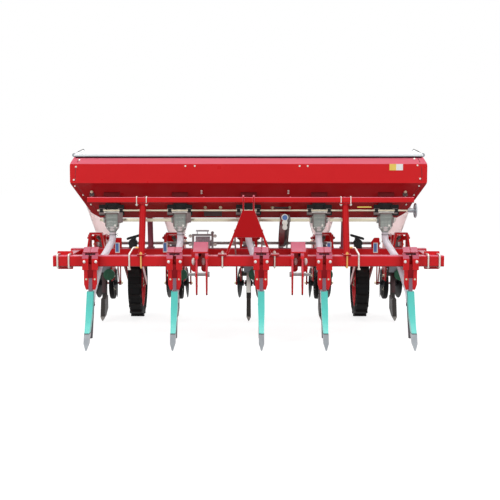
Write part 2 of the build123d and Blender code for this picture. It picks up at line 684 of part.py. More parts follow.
with BuildPart() as clamp:
    for s in (-1, 1):
        with BuildSketch(side(s * (SHANK_WIDE / 2))):
            with BuildLine():
                Polyline(
                    (FRONT, BEAM_BOTTOM), (FRONT, BEAM_TOP), (FRONT + CLAMP_REACH, BEAM_TOP),
                    (FRONT + CLAMP_REACH, 694), (FRONT + 6, 694), (FRONT - 40, 664),
                    (CLAMP_FACE, 622), (CLAMP_FACE, CLAMP_LOW), (FRONT - 20, CLAMP_LOW),
                    (FRONT - 12, 540), (FRONT + CLAMP_REACH, 545), (FRONT + CLAMP_REACH, BEAM_BOTTOM),
                    close=True)
            make_face()
        extrude(amount=s * 10)
        with BuildSketch(side(s * (SHANK_WIDE / 2))):
            with BuildLine():
                Polyline(
                    (FRONT - 40, 668), (CLAMP_FACE - 10, 626), (CLAMP_FACE - 10, CLAMP_STEP),
                    (CLAMP_FACE, CLAMP_STEP), (CLAMP_FACE, 620), (FRONT - 32, 662), close=True)
            make_face()
        extrude(amount=s * (CLAMP_BROW_HALF - SHANK_WIDE / 2))
        with BuildSketch(front(CLAMP_FACE + 8)):
            with BuildLine():
                Polyline(
                    (s * 12.5, 570), (s * 47, 570), (s * 47, 440), (s * 34, CLAMP_LOW),
                    (s * 12.5, CLAMP_LOW), close=True)
            make_face()
        extrude(amount=8)
    with BuildSketch(side(-CLAMP_ROOF_HALF)):
        with BuildLine():
            Polyline(
                (FRONT + CLAMP_REACH, 694), (FRONT + CLAMP_REACH, 703), (FRONT + 4, 703),
                (FRONT - 46, 671), (FRONT - 42, 663), (FRONT + 6, 694), close=True)
        make_face()
    extrude(amount=2 * CLAMP_ROOF_HALF)
    with BuildSketch(level(650, 0, FRONT - 46)):
        Rectangle(4, 60, align=(Align.CENTER, Align.MIN))
    extrude(amount=60, mode=Mode.SUBTRACT)
save(repeat(clamp, [(x, 0, 0) for x in OPENER_X]), "shank_clamps")

BOOT_TOP = (FRONT - 12.0, 300.0)
BOOT_LOW = (FRONT - 118.0, 60.0)
BOOT_RADIUS = 20.0
boot_lean = atan2(BOOT_LOW[0] - BOOT_TOP[0], BOOT_LOW[1] - BOOT_TOP[1])
boot_length = sqrt((BOOT_LOW[0] - BOOT_TOP[0]) ** 2 + (BOOT_LOW[1] - BOOT_TOP[1]) ** 2)
boot_axis = ((BOOT_LOW[0] - BOOT_TOP[0]) / boot_length, (BOOT_LOW[1] - BOOT_TOP[1]) / boot_length)
boot_plane = Plane((0, BOOT_TOP[0], BOOT_TOP[1]), x_dir=(1, 0, 0), z_dir=(0, boot_axis[0], boot_axis[1]))
with BuildPart() as boot:
    with BuildSketch(side(0)):
        with BuildLine():
            Polyline(
                (BOOT_TOP[0] - 60, 268), (BOOT_TOP[0] - 12, 268), (BOOT_TOP[0] - 30, 226),
                (BOOT_TOP[0] - 84, 226), close=True)
        make_face()
    extrude(amount=6, both=True)
    with BuildSketch(boot_plane):
        Circle(BOOT_RADIUS)
    extrude(amount=boot_length)
    with BuildSketch(boot_plane.offset(8)):
        Circle(BOOT_RADIUS + 5)
    extrude(amount=14)
    with BuildSketch(boot_plane):
        Circle(BOOT_RADIUS - 3)
    extrude(amount=boot_length, mode=Mode.SUBTRACT)
    add(sleeve.part, mode=Mode.SUBTRACT)
save(repeat(boot, [(x, 0, 0) for x in OPENER_X]), "fertiliser_boots")

TUBE_RADIUS = 21.0
TUBE_RUN = 70.0           # the tube's last stretch is in line with the boot
with BuildPart() as fertiliser_tubes:
    for meter_x, opener_x in zip(METER_X, OPENER_X):
        start = (meter_x, METER_Y, OUTLET_BOTTOM)
        below = (meter_x, METER_Y, OUTLET_BOTTOM - 60)
        pass_x = meter_x + (opener_x - meter_x) * 0.55
        between = (pass_x, GAP_START + 40, BEAM_BOTTOM + 30)
        above = (opener_x, BOOT_TOP[0] - TUBE_RUN * boot_axis[0], BOOT_TOP[1] - TUBE_RUN * boot_axis[1])
        end = (opener_x, BOOT_TOP[0], BOOT_TOP[1])
        with BuildLine():
            FilletPolyline(start, below, between, above, end, radius=[60, 180, 120])
        with BuildSketch(Plane(start, x_dir=(1, 0, 0), z_dir=Vector(below) - Vector(start))):
            Circle(TUBE_RADIUS)
        sweep()
save(fertiliser_tubes, "fertiliser_tubes")

# ---- drive --------------------------------------------------------------------
DRIVE_Y = REAR + BEAM + 60
DRIVE_Z = 672.0
DRIVE_RADIUS = 12.0
CHAIN_X = 304.0
GUARD_X = (238.0, 276.0)  # the guard stands beside the chain
with BuildPart() as drive_shaft:
    with BuildSketch(side(-1050, DRIVE_Y, DRIVE_Z)):
        Circle(DRIVE_RADIUS)
    extrude(amount=2100)
    for x in (-130.0, 130.0):
        with BuildSketch(side(x, DRIVE_Y, DRIVE_Z)):
            Circle(21)
        extrude(amount=18, both=True)
save(drive_shaft, "drive_shaft")

chain_run = (METER_Y - DRIVE_Y, METER_SHAFT_Z - DRIVE_Z)
chain_length = sqrt(chain_run[0] ** 2 + chain_run[1] ** 2)
chain_angle = degrees(atan2(chain_run[1], chain_run[0]))
chain_middle = ((METER_Y + DRIVE_Y) / 2, (METER_SHAFT_Z + DRIVE_Z) / 2)
SPROCKET = 34.0
with BuildPart() as drive_chain:
    with BuildSketch(side(CHAIN_X, chain_middle[0], chain_middle[1])):
        SlotCenterToCenter(chain_length, 2 * SPROCKET + 14, rotation=chain_angle)
        SlotCenterToCenter(chain_length, 2 * SPROCKET, rotation=chain_angle, mode=Mode.SUBTRACT)
    extrude(amount=6, both=True)
    for y, z, bore in ((METER_Y, METER_SHAFT_Z, 10.5), (DRIVE_Y, DRIVE_Z, DRIVE_RADIUS)):
        with BuildSketch(side(CHAIN_X, y, z)):
            Circle(SPROCKET)
            with PolarLocations(SPROCKET - 13, 5):
                Circle(5, mode=Mode.SUBTRACT)
            Circle(bore, mode=Mode.SUBTRACT)
        extrude(amount=4, both=True)
        with BuildSketch(side(CHAIN_X, y, z)):
            Circle(bore + 6)
            Circle(bore, mode=Mode.SUBTRACT)
        extrude(amount=12, both=True)
save(drive_chain, "drive_chain")

GUARD_HALF = 50.0
with BuildPart() as chain_guard:
    with BuildSketch(side(GUARD_X[0], chain_middle[0], chain_middle[1])):
        SlotCenterToCenter(chain_length, 2 * GUARD_HALF, rotation=chain_angle)
        SlotCenterToCenter(chain_length, 2 * GUARD_HALF - 6, rotation=chain_angle, mode=Mode.SUBTRACT)
    extrude(amount=GUARD_X[1] - GUARD_X[0])
    with BuildSketch(side(GUARD_X[1] - 3, chain_middle[0], chain_middle[1])):
        SlotCenterToCenter(chain_length, 2 * GUARD_HALF, rotation=chain_angle)
        for y, z in ((METER_Y, METER_SHAFT_Z), (DRIVE_Y, DRIVE_Z)):
            with Locations((y - chain_middle[0], z - chain_middle[1])):
                Circle(16, mode=Mode.SUBTRACT)
    extrude(amount=3)
save(chain_guard, "chain_guard")

GEAR_X = (-415.0, -305.0)
GEAR_TOP = BEAM_TOP + 92
with BuildPart() as gear_case:
    with BuildSketch(side(GEAR_X[0], REAR + 40, BEAM_TOP)):
        with BuildLine():
            FilletPolyline(
                (-36, 0), (124, 0), (124, 52), (96, 80), (10, 92), (-36, 92),
                radius=[4, 10, 10, 10, 10, 4], close=True)
        make_face()
    extrude(amount=GEAR_X[1] - GEAR_X[0])
    with BuildSketch(front(REAR + 4)):
        for k in range(5):
            with Locations((GEAR_X[0] + 15 + 20 * k, BEAM_TOP + 46)):
                RectangleRounded(6, 76, 2)
    extrude(amount=5)
    with BuildSketch(side(GEAR_X[0] - 8, DRIVE_Y, DRIVE_Z)):
        Circle(26)
    extrude(amount=GEAR_X[1] - GEAR_X[0] + 16)
    with BuildSketch(side(GEAR_X[0] - 20, DRIVE_Y, DRIVE_Z)):
        Circle(DRIVE_RADIUS + 0.5)
    extrude(amount=200, mode=Mode.SUBTRACT)
save(gear_case, "gear_case")

# Black fittings on the rear beam: a frame over the gear case, and a bearing with a lever at
# each ground wheel.
COVER_X = (-910.0, 860.0)
with BuildPart() as drive_covers:
    with BuildSketch(front(REAR + 8, (GEAR_X[0] + GEAR_X[1]) / 2, BEAM_TOP)):
        with BuildLine():
            Polyline(
                (-84, 0), (-84, 112), (84, 112), (84, 0), (68, 0), (68, 98), (-68, 98), (-68, 0),
                close=True)
        make_face()
        with Locations((76, 122)):
            Circle(12)
    extrude(amount=-28)
    for x in COVER_X:
        out = 1 if x > 0 else -1
        with BuildSketch(front(REAR + 16, x, BEAM_TOP)):
            Rectangle(60, 20, align=(Align.CENTER, Align.MIN))
            with Locations((0, 40)):
                Circle(34)
            with Locations((out * -6, 88)):
                SlotOverall(112, 18, rotation=out * -16)
            with Locations((out * -14, 76)):
                Rectangle(18, 30)
        extrude(amount=-48)
        with BuildSketch(front(REAR + 16, x, BEAM_TOP + 40)):
            Circle(20)
        extrude(amount=12)
save(drive_covers, "drive_covers")

# ---- row units -----------------------------------------------------------------
SIDE_INNER = 60.0
SIDE_OUTER = 70.0
PIVOT_FRONT = REAR + BEAM + 92
PIVOT_REAR = FRONT + 985
UPPER_PIVOT_Z = 712.0
LOWER_PIVOT_Z = 596.0
UNIT_DROP = 22.0

with BuildPart() as bracket:
    for s in (-1, 1):
        with BuildSketch(side(s * SIDE_INNER)):
            with BuildLine():
                Polyline(
                    (REAR + BEAM, 548), (REAR + BEAM + 100, 560), (REAR + BEAM + 124, 596),
                    (REAR + BEAM + 124, 716), (REAR + BEAM + 100, 744), (REAR + BEAM, 744), close=True)
            make_face()
            with Locations((DRIVE_Y, DRIVE_Z)):
                Circle(DRIVE_RADIUS + 0.5, mode=Mode.SUBTRACT)
        extrude(amount=s * (SIDE_OUTER - SIDE_INNER))
    with BuildSketch(front(REAR + BEAM, 0, 548)):
        Rectangle(2 * SIDE_OUTER, BEAM_TOP + 4 - 548, align=(Align.CENTER, Align.MIN))
    extrude(amount=-8)

ARCH_TOP = 764.0
ARCH_FOOT_HALF = 70.0
ARCH_TOP_HALF = 50.0
ARCH_BAR = 15.0
with bracket:
    with BuildSketch(front(REAR + 12)):
        with BuildLine():
            Polyline(
                (-ARCH_FOOT_HALF, BEAM_TOP), (-ARCH_TOP_HALF, ARCH_TOP),
                (ARCH_TOP_HALF, ARCH_TOP), (ARCH_FOOT_HALF, BEAM_TOP), close=True)
        make_face()
        with BuildLine():
            Polyline(
                (ARCH_BAR - ARCH_FOOT_HALF, BEAM_TOP), (ARCH_BAR - ARCH_TOP_HALF, ARCH_TOP - ARCH_BAR),
                (ARCH_TOP_HALF - ARCH_BAR, ARCH_TOP - ARCH_BAR), (ARCH_FOOT_HALF - ARCH_BAR, BEAM_TOP),
                close=True)
        make_face(mode=Mode.SUBTRACT)
    extrude(amount=-56)

TAG_X = (-1028.0, 995.0)  # upright plates on the rear beam, beside the outer rows
with BuildPart() as row_brackets:
    with Locations(*[(x, 0, 0) for x in ROW_X]):
        add(bracket.part)
    for x in TAG_X:
        with BuildSketch(front(REAR + 14, x, BEAM_TOP)):
            with BuildLine():
                FilletPolyline((-32, 0), (-32, 52), (-10, 84), (32, 84), (32, 0),
                               radius=[0, 10, 8, 8, 0], close=True)
            make_face()
        extrude(amount=-8)
        with BuildSketch(level(BEAM_TOP, x, REAR + 44)):
            Rectangle(64, 60)
        extrude(amount=6)
save(row_brackets, "row_brackets")

with BuildPart() as links:
    for s in (-1, 1):
        for z in (UPPER_PIVOT_Z, LOWER_PIVOT_Z):
            with BuildSketch(side(s * SIDE_OUTER, (PIVOT_FRONT + PIVOT_REAR) / 2, z - UNIT_DROP / 2)):
                SlotCenterToCenter(
                    PIVOT_REAR - PIVOT_FRONT, 36,
                    rotation=degrees(atan2(-UNIT_DROP, PIVOT_REAR - PIVOT_FRONT)))
            extrude(amount=s * 8)
            for y, height in ((PIVOT_FRONT, z), (PIVOT_REAR, z - UNIT_DROP)):
                with BuildSketch(side(s * (SIDE_OUTER + 8), y, height)):
                    Circle(13)
                extrude(amount=s * 5)
                with BuildSketch(side(s * (SIDE_OUTER + 13), y, height)):
                    RegularPolygon(9.5, 6)
                extrude(amount=s * 8)
save(repeat(links, [(x, 0, 0) for x in ROW_X]), "row_links")

METER_CENTRE = (FRONT + 1120, 520.0)
METER_DISC = 95.0
COVER_OUT = 48.0          # ribbed round cover at the front of each seed meter
COVER_Z = 390.0
COVER_RADIUS = 46.0
DISC_Y = FRONT + 1262
DISC_Z = 285.0
DISC_X = 63.0
DISC_TOE = 9.0
DISC_RADIUS = 128.0
PRESS_Y = FRONT + 1552
PRESS_Z = 246.0
PRESS_RADIUS = 140.0
PRESS_HALF = 21.0
AXLE_RADIUS = 8.0
ARM_X = 52.0
ARM_Z = 452.0


def disc_plane(s, out=0.0):
    """The covering disc's plane, facing its hub side, at a distance out along its axle."""
    toe = radians(DISC_TOE)
    axle = (s * cos(toe), sin(toe))
    return Plane(
        (s * DISC_X + out * axle[0], DISC_Y + out * axle[1], DISC_Z),
        x_dir=(0, 0, 1), z_dir=(axle[0], axle[1], 0))


with BuildPart() as unit_frame:
    for s in (-1, 1):
        with BuildSketch(side(s * SIDE_INNER)):
            with BuildLine():
                Polyline(
                    (FRONT + 950, 720), (FRONT + 1020, 720), (FRONT + 1050, 676), (FRONT + 1180, 676),
                    (FRONT + 1195, 486), (FRONT + 1240, 476), (FRONT + 1240, 430),
                    (FRONT + 1195, 420), (FRONT + 1130, 330), (FRONT + 1010, 330),
                    (FRONT + 958, 540), close=True)
            make_face()
        extrude(amount=s * (SIDE_OUTER - SIDE_INNER))
        with BuildSketch(side(s * ARM_X)):
            with BuildLine():
                Polyline(
                    (FRONT + 1216, ARM_Z + 18), (FRONT + 1450, ARM_Z + 10), (PRESS_Y + 20, PRESS_Z + 6),
                    (PRESS_Y + 16, PRESS_Z - 16), (PRESS_Y - 16, PRESS_Z - 16), (PRESS_Y - 20, PRESS_Z),
                    (FRONT + 1430, ARM_Z - 22), (FRONT + 1216, ARM_Z - 18), close=True)
            make_face()
        extrude(amount=s * (SIDE_INNER - ARM_X))
        with BuildSketch(disc_plane(s, 36)):
            with Locations((-18, 0)):
                Rectangle(ARM_Z + 30 - DISC_Z, 30, align=(Align.MIN, Align.CENTER))
        extrude(amount=10)
        with BuildSketch(disc_plane(s, -6)):
            Circle(AXLE_RADIUS)
        extrude(amount=44)
    with BuildSketch(level(ARM_Z - 12, 0, DISC_Y)):
        Rectangle(2 * (DISC_X + 50), 34)
    extrude(amount=24)
    with BuildSketch(side(-ARM_X, PRESS_Y, PRESS_Z)):
        Circle(AXLE_RADIUS)
    extrude(amount=2 * ARM_X)
    with BuildSketch(front(FRONT + 962)):
        with Locations((0, 690)):
            Rectangle(2 * SIDE_INNER, 56)
    extrude(amount=-10)
save(repeat(unit_frame, [(x, 0, 0) for x in ROW_X]), "row_frames")

with BuildPart() as spring:
    with BuildSketch(Plane((0, REAR + BEAM + 14, 728), x_dir=(1, 0, 0), z_dir=(0, 280, -60))):
        Circle(15)
    extrude(amount=sqrt(280 ** 2 + 60 ** 2) - 4)
save(repeat(spring, [(x, 0, 0) for x in ROW_X]), "row_springs")

BOX_BOTTOM = 656.0
BOX_SHOULDER = 960.0
BOX_TOP = 1050.0
BOX_HALF = 135.0
BOX_WALL = 4.0
BOX_OUTLET = 46.0


def box_shell(inset):
    """The seed box's tapered body and upright rim, set in by inset."""
    with BuildPart() as shell:
        with BuildSketch(level(BOX_BOTTOM + inset, 0, METER_CENTRE[0])):
            Rectangle(2 * (BOX_OUTLET - inset), 2 * (BOX_OUTLET - inset))
        with BuildSketch(level(BOX_SHOULDER, 0, METER_CENTRE[0])):
            Rectangle(2 * (BOX_HALF - inset), 2 * (BOX_HALF - inset))
        loft()
        with BuildSketch(level(BOX_SHOULDER, 0, METER_CENTRE[0])):
            Rectangle(2 * (BOX_HALF - inset), 2 * (BOX_HALF - inset))
        extrude(amount=BOX_TOP - BOX_SHOULDER)
    return shell


box_outside = box_shell(0)
box_inside = box_shell(BOX_WALL)
with BuildPart() as seed_box:
    add(box_outside.part)
    add(box_inside.part, mode=Mode.SUBTRACT)
BOX_LID_GAP = 5.0
BOX_LID_THICK = 3.0
BOX_HINGE_Y = METER_CENTRE[0] + BOX_HALF + 12
BOX_HINGE_Z = BOX_TOP + 4
for number, x in enumerate(ROW_X, start=1):
    with BuildPart() as seed_box_lid:
        with BuildSketch(level(BOX_TOP + BOX_LID_GAP, x, METER_CENTRE[0])):
            RectangleRounded(2 * BOX_HALF + 4, 2 * BOX_HALF + 4, 12)
        extrude(amount=16)
        with BuildSketch(level(BOX_TOP + BOX_LID_GAP, x, METER_CENTRE[0])):
            RectangleRounded(2 * BOX_HALF - 2, 2 * BOX_HALF - 2, 9)
        extrude(amount=16 - BOX_LID_THICK, mode=Mode.SUBTRACT)
        with BuildSketch(side(x, BOX_HINGE_Y, BOX_HINGE_Z)):
            Circle(6)
            with Locations((-6, 4)):
                Rectangle(10, 4)
            Circle(3.3, mode=Mode.SUBTRACT)
        extrude(amount=40, both=True)
    save(seed_box_lid, f"seed_box_lid_{number}")

with seed_box:
    with BuildSketch(side(0, BOX_HINGE_Y, BOX_HINGE_Z)):
        Circle(3)
    extrude(amount=56, both=True)
    for s in (-1, 1):
        with BuildSketch(side(s * 46)):
            with BuildLine():
                Polyline(
                    (METER_CENTRE[0] + BOX_HALF, BOX_TOP - 24), (METER_CENTRE[0] + BOX_HALF, BOX_TOP - 4),
                    (BOX_HINGE_Y - 4, BOX_HINGE_Z + 4), (BOX_HINGE_Y + 4, BOX_HINGE_Z + 4),
                    (BOX_HINGE_Y + 4, BOX_HINGE_Z - 4), close=True)
            make_face()
        extrude(amount=s * 8)
save(repeat(seed_box, [(x, 0, 0) for x in ROW_X]), "seed_boxes")

with BuildPart() as seed_meter:
    with BuildSketch(side(-SIDE_INNER, METER_CENTRE[0], METER_CENTRE[1])):
        Circle(METER_DISC)
    extrude(amount=2 * SIDE_INNER)
    with BuildSketch(level(METER_CENTRE[1], 0, METER_CENTRE[0])):
        Rectangle(2 * BOX_OUTLET, 2 * BOX_OUTLET)
    extrude(amount=BOX_BOTTOM - METER_CENTRE[1])
    with BuildSketch(front(FRONT + 984, 0, COVER_Z)):
        with BuildLine():
            Polyline((-40, 16), (-40, 74), (56, 74), (56, 16), close=True)
        make_face()
    extrude(amount=-96)
    with BuildSketch(front(FRONT + 984, COVER_OUT, COVER_Z)):
        Circle(COVER_RADIUS)
    extrude(amount=16)
    with BuildSketch(front(FRONT + 968, COVER_OUT, COVER_Z)):
        Circle(COVER_RADIUS - 3)
    extrude(amount=8, taper=30)
    with BuildSketch(front(FRONT + 968, COVER_OUT, COVER_Z)):
        with PolarLocations(26, 8):
            Rectangle(26, 5)
        Circle(11)
    extrude(amount=12)
save(repeat(seed_meter, [(x, 0, 0) for x in ROW_X]), "seed_meters")

OPENER_HALF = 18.0
with BuildPart() as opener:
    with BuildSketch(side(0)):
        with BuildLine():
            Polyline(
                (FRONT + 1020, 404), (FRONT + 1104, 404), (FRONT + 1104, 372), (FRONT + 1020, 372), close=True)
        make_face()
    extrude(amount=SIDE_INNER, both=True)
    with BuildSketch(side(0)):
        with BuildLine():
            Polyline((FRONT + 1036, 404), (FRONT + 1088, 404), (FRONT + 1078, 180), (FRONT + 1000, 180), close=True)
        make_face()
    extrude(amount=16, both=True)
    with BuildSketch(side(0)):
        with BuildLine():
            Polyline(
                (FRONT + 940, 190), (FRONT + 1110, 200), (FRONT + 1110, 92), (FRONT + 900, 14),
                (FRONT + 892, 20), close=True)
        make_face()
    extrude(amount=OPENER_HALF, both=True)
    with BuildSketch(front(FRONT + 880)):
        with BuildLine():
            Polyline(
                (-SIDE_INNER, 410), (SIDE_INNER, 410), (SIDE_INNER, 360), (OPENER_HALF, 360),
                (OPENER_HALF, 46), (3, 14), (-3, 14), (-OPENER_HALF, 46), (-OPENER_HALF, 360),
                (-SIDE_INNER, 360), close=True)
        make_face()
    extrude(amount=-260, mode=Mode.INTERSECT)
save(repeat(opener, [(x, 0, 0) for x in ROW_X]), "seed_openers")

DISC_THICK = 4.0
DISC_DISH = 16.0
HUB_RADIUS = 30.0
HUB_LONG = 22.0
disc_curve = (DISC_RADIUS ** 2 + DISC_DISH ** 2) / (2 * DISC_DISH)
number = 0
for x in ROW_X:
    for s in (-1, 1):
        number += 1
        base = disc_plane(s)
        with BuildPart() as covering_disc:
            section = Plane(
                base.origin + Vector(x, 0, 0), x_dir=base.x_dir, z_dir=base.z_dir.cross(base.x_dir))
            with BuildSketch(section):
                with BuildLine():
                    mid = DISC_RADIUS / 2
                    mid_drop = disc_curve - sqrt(disc_curve ** 2 - mid ** 2)
                    Line((AXLE_RADIUS + PIN_CLEARANCE, 0), (AXLE_RADIUS + PIN_CLEARANCE, HUB_LONG))
                    Line((AXLE_RADIUS + PIN_CLEARANCE, HUB_LONG), (HUB_RADIUS - 6, HUB_LONG))
                    Line((HUB_RADIUS - 6, HUB_LONG), (HUB_RADIUS, DISC_THICK))
                    ThreePointArc(
                        (HUB_RADIUS, DISC_THICK), (mid, DISC_THICK - mid_drop),
                        (DISC_RADIUS, DISC_THICK - DISC_DISH))
                    Line((DISC_RADIUS, DISC_THICK - DISC_DISH), (DISC_RADIUS, DISC_THICK - DISC_DISH - 1.5))
                    ThreePointArc(
                        (DISC_RADIUS, DISC_THICK - DISC_DISH - 1.5), (mid, -mid_drop),
                        (AXLE_RADIUS + PIN_CLEARANCE, 0))
                make_face()
            revolve(axis=Axis(section.origin, base.z_dir))
        save(covering_disc, f"covering_disc_{number}")

for number, x in enumerate(ROW_X, start=1):
    with BuildPart() as press_wheel:
        with BuildSketch(Plane((x, PRESS_Y, PRESS_Z), x_dir=(0, 0, 1), z_dir=(0, 1, 0))):
            with BuildLine():
                Polyline(
                    (PRESS_RADIUS - 24, -PRESS_HALF), (PRESS_RADIUS - 8, -PRESS_HALF), (PRESS_RADIUS, -12),
                    (PRESS_RADIUS, 12), (PRESS_RADIUS - 8, PRESS_HALF), (PRESS_RADIUS - 24, PRESS_HALF),
                    (PRESS_RADIUS - 30, 5), (28, 5), (26, 34), (AXLE_RADIUS + PIN_CLEARANCE, 34),
                    (AXLE_RADIUS + PIN_CLEARANCE, -34), (26, -34), (28, -5), (PRESS_RADIUS - 30, -5),
                    close=True)
            make_face()
        revolve(axis=Axis((x, PRESS_Y, PRESS_Z), (1, 0, 0)))
    save(press_wheel, f"press_wheel_{number}")

# ---- ground wheels ---------------------------------------------------------------
TYRE_RADIUS = 295.0
LUG_HEIGHT = 16.0
LUG_COUNT = 20
TYRE_WIDE = 110.0
TYRE_INNER = 218.0
RIM_WIDE = 84.0
WHEEL_Y = FRONT + 1240
WHEEL_Z = TYRE_RADIUS
WHEEL_AXLE = 15.0
SPOKES = 6
for name, x in (("left", -WHEEL_X), ("right", WHEEL_X)):
    with BuildPart() as tyre:
        carcass = TYRE_RADIUS - LUG_HEIGHT
        with BuildSketch(Plane((x, WHEEL_Y, WHEEL_Z), x_dir=(0, 0, 1), z_dir=(0, 1, 0))):
            with BuildLine():
                Polyline(
                    (TYRE_INNER, -RIM_WIDE / 2), (TYRE_INNER + 26, -TYRE_WIDE / 2),
                    (carcass - 18, -TYRE_WIDE / 2), (carcass, -TYRE_WIDE / 2 + 16),
                    (carcass, TYRE_WIDE / 2 - 16), (carcass - 18, TYRE_WIDE / 2),
                    (TYRE_INNER + 26, TYRE_WIDE / 2), (TYRE_INNER, RIM_WIDE / 2), close=True)
            make_face()
        revolve(axis=Axis((x, WHEEL_Y, WHEEL_Z), (1, 0, 0)))
        with BuildSketch(side(x - TYRE_WIDE / 2 + 4, WHEEL_Y, WHEEL_Z)):
            with PolarLocations(carcass - 8, LUG_COUNT):
                Rectangle(LUG_HEIGHT + 8, 24, align=(Align.MIN, Align.CENTER))
        extrude(amount=TYRE_WIDE - 8)
    save(tyre, f"ground_tyre_{name}")
    with BuildPart() as rim:
        with BuildSketch(Plane((x, WHEEL_Y, WHEEL_Z), x_dir=(0, 0, 1), z_dir=(0, 1, 0))):
            with Locations((TYRE_INNER - 5, 0)):
                Rectangle(10, RIM_WIDE)
        revolve(axis=Axis((x, WHEEL_Y, WHEEL_Z), (1, 0, 0)))
        with BuildSketch(side(x, WHEEL_Y, WHEEL_Z)):
            with PolarLocations(30, SPOKES):
                Rectangle(TYRE_INNER - 36, 34, align=(Align.MIN, Align.CENTER))
        extrude(amount=6, both=True)
        with BuildSketch(side(x - 48, WHEEL_Y, WHEEL_Z)):
            Circle(38)
        extrude(amount=96)
        with BuildSketch(side(x - 48, WHEEL_Y, WHEEL_Z)):
            Circle(WHEEL_AXLE + PIN_CLEARANCE)
        extrude(amount=96, mode=Mode.SUBTRACT)
    save(rim, f"ground_rim_{name}")

ARM_INNER = 63.0
ARM_PIVOT = (REAR + BEAM + 44, 600.0)
with BuildPart() as wheel_arm:
    run = (WHEEL_Y - ARM_PIVOT[0], WHEEL_Z - ARM_PIVOT[1])
    reach = sqrt(run[0] ** 2 + run[1] ** 2)
    for s in (-1, 1):
        with BuildSketch(side(s * ARM_INNER, (WHEEL_Y + ARM_PIVOT[0]) / 2, (WHEEL_Z + ARM_PIVOT[1]) / 2)):
            SlotCenterToCenter(reach, 54, rotation=degrees(atan2(run[1], run[0])))
        extrude(amount=s * 12)
        with BuildSketch(side(s * (ARM_INNER + 12))):
            with BuildLine():
                Polyline(
                    (REAR + BEAM, 558), (REAR + BEAM + 50, 562), (REAR + BEAM + 76, 600),
                    (REAR + BEAM + 50, 640), (REAR + BEAM, 644), close=True)
            make_face()
        extrude(amount=s * 10)
    with BuildSketch(front(REAR + BEAM, 0, 601)):
        Rectangle(200, 86)
    extrude(amount=-8)
    with BuildSketch(side(-ARM_INNER, WHEEL_Y, WHEEL_Z)):
        Circle(WHEEL_AXLE)
    extrude(amount=2 * ARM_INNER)
    with BuildSketch(side(-ARM_INNER, ARM_PIVOT[0], ARM_PIVOT[1])):
        Circle(16)
    extrude(amount=2 * ARM_INNER)
save(repeat(wheel_arm, [(x, 0, 0) for x in (-WHEEL_X, WHEEL_X)]), "wheel_arms")
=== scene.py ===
"""Dress, materials and stage for the mounted row-crop seed drill.

Metres. The frame has +Z up, +Y rearward and X across the machine, and the
origin on the ground in the middle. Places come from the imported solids'
boxes and from the tables below.
"""
import json

from functools import partial
from math import atan2, cos, pi, radians, sin, sqrt

import bmesh
import bpy
from bpy.props import FloatProperty, FloatVectorProperty, IntProperty, PointerProperty
from mathutils import Matrix, Vector


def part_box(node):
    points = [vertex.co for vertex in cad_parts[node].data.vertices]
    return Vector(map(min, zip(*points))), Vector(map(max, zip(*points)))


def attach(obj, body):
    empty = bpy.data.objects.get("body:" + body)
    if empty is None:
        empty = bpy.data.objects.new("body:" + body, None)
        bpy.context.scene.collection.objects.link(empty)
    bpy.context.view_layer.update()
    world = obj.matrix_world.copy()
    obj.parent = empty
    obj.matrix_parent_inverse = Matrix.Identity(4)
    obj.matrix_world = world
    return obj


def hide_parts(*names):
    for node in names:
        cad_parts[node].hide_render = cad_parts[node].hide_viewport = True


bl_info = {
    "name": "Seed Drill Dress",
    "version": (1, 0, 0),
    "blender": (4, 5, 0),
    "location": "View3D > Sidebar > Seed Drill",
    "description": "Finishes, fasteners and fittings for a mounted row-crop seed drill",
    "category": "Object",
}

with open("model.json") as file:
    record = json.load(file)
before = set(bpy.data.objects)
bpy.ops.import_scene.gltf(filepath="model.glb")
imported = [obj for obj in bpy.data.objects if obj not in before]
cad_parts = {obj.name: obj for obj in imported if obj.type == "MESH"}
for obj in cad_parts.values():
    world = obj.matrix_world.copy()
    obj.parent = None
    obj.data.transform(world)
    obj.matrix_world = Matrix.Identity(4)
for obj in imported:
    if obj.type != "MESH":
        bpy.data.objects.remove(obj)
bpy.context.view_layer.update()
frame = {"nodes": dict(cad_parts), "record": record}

X, Y, Z = (Vector(axis) for axis in ((1, 0, 0), (0, 1, 0), (0, 0, 1)))
SIDES = (-1, 1)
SQUARE = ((-1, -1), (1, -1), (1, 1), (-1, 1))    # its corners in order

# ---- places and tables ---------------------------------------------------------
FRONT_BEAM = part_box("front_beam")
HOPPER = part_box("hopper_trough")
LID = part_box("hopper_lid")
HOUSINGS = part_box("meter_housings")
FRONT = FRONT_BEAM[0].y
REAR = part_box("rear_beam")[0].y
BEAM_TOP = FRONT_BEAM[1].z
METER_FACE = HOUSINGS[0].y
METER_Y = (HOUSINGS[0].y + HOUSINGS[1].y) / 2
ROWS = range(1, 6)
ROW_X = [sum(corner.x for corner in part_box(f"press_wheel_{n}")) / 2 for n in ROWS]
OPENER_X = (-1.140, -0.533, 0.092, 0.546, 1.169)
METER_X = (-1.025, -0.515, 0.0, 0.530, 1.030)
HITCH_X = ((-0.335, -1), (0.350, 1))       # middle of each pair of hitch plates, and its outer side
POST_X = (-0.780, 0.715)
HOOP_X = (-0.789, 0.718)                   # middle of the hoops over each post
METER_CENTRE = (FRONT + 1.120, 0.520)      # y and z of the seed meters
PRESS_AXLE = (FRONT + 1.552, 0.246)
DISC_AXLE = (FRONT + 1.262, 0.285)
DISC_TOE = radians(9)
DISC_OUT = 0.063                           # from a row's middle to its covering disc
KNEE = 1.161                               # height where the hopper's sheets turn in
SHOULDER = 1.303                           # height where its rim starts to lean
RIM_LEAN = 0.030                           # how far the rim leans in at its top
SLOPE = 0.160 / 0.267                      # how fast the lower sheets close in
TUBE_WALL = 0.0042                         # how far the drop tubes' wall stands out past the solid
SMOOTH_ANGLE = 0.6                         # sharper corners than this stay sharp
SOFT_EDGE = 0.001                          # bevel of bent and pressed fittings

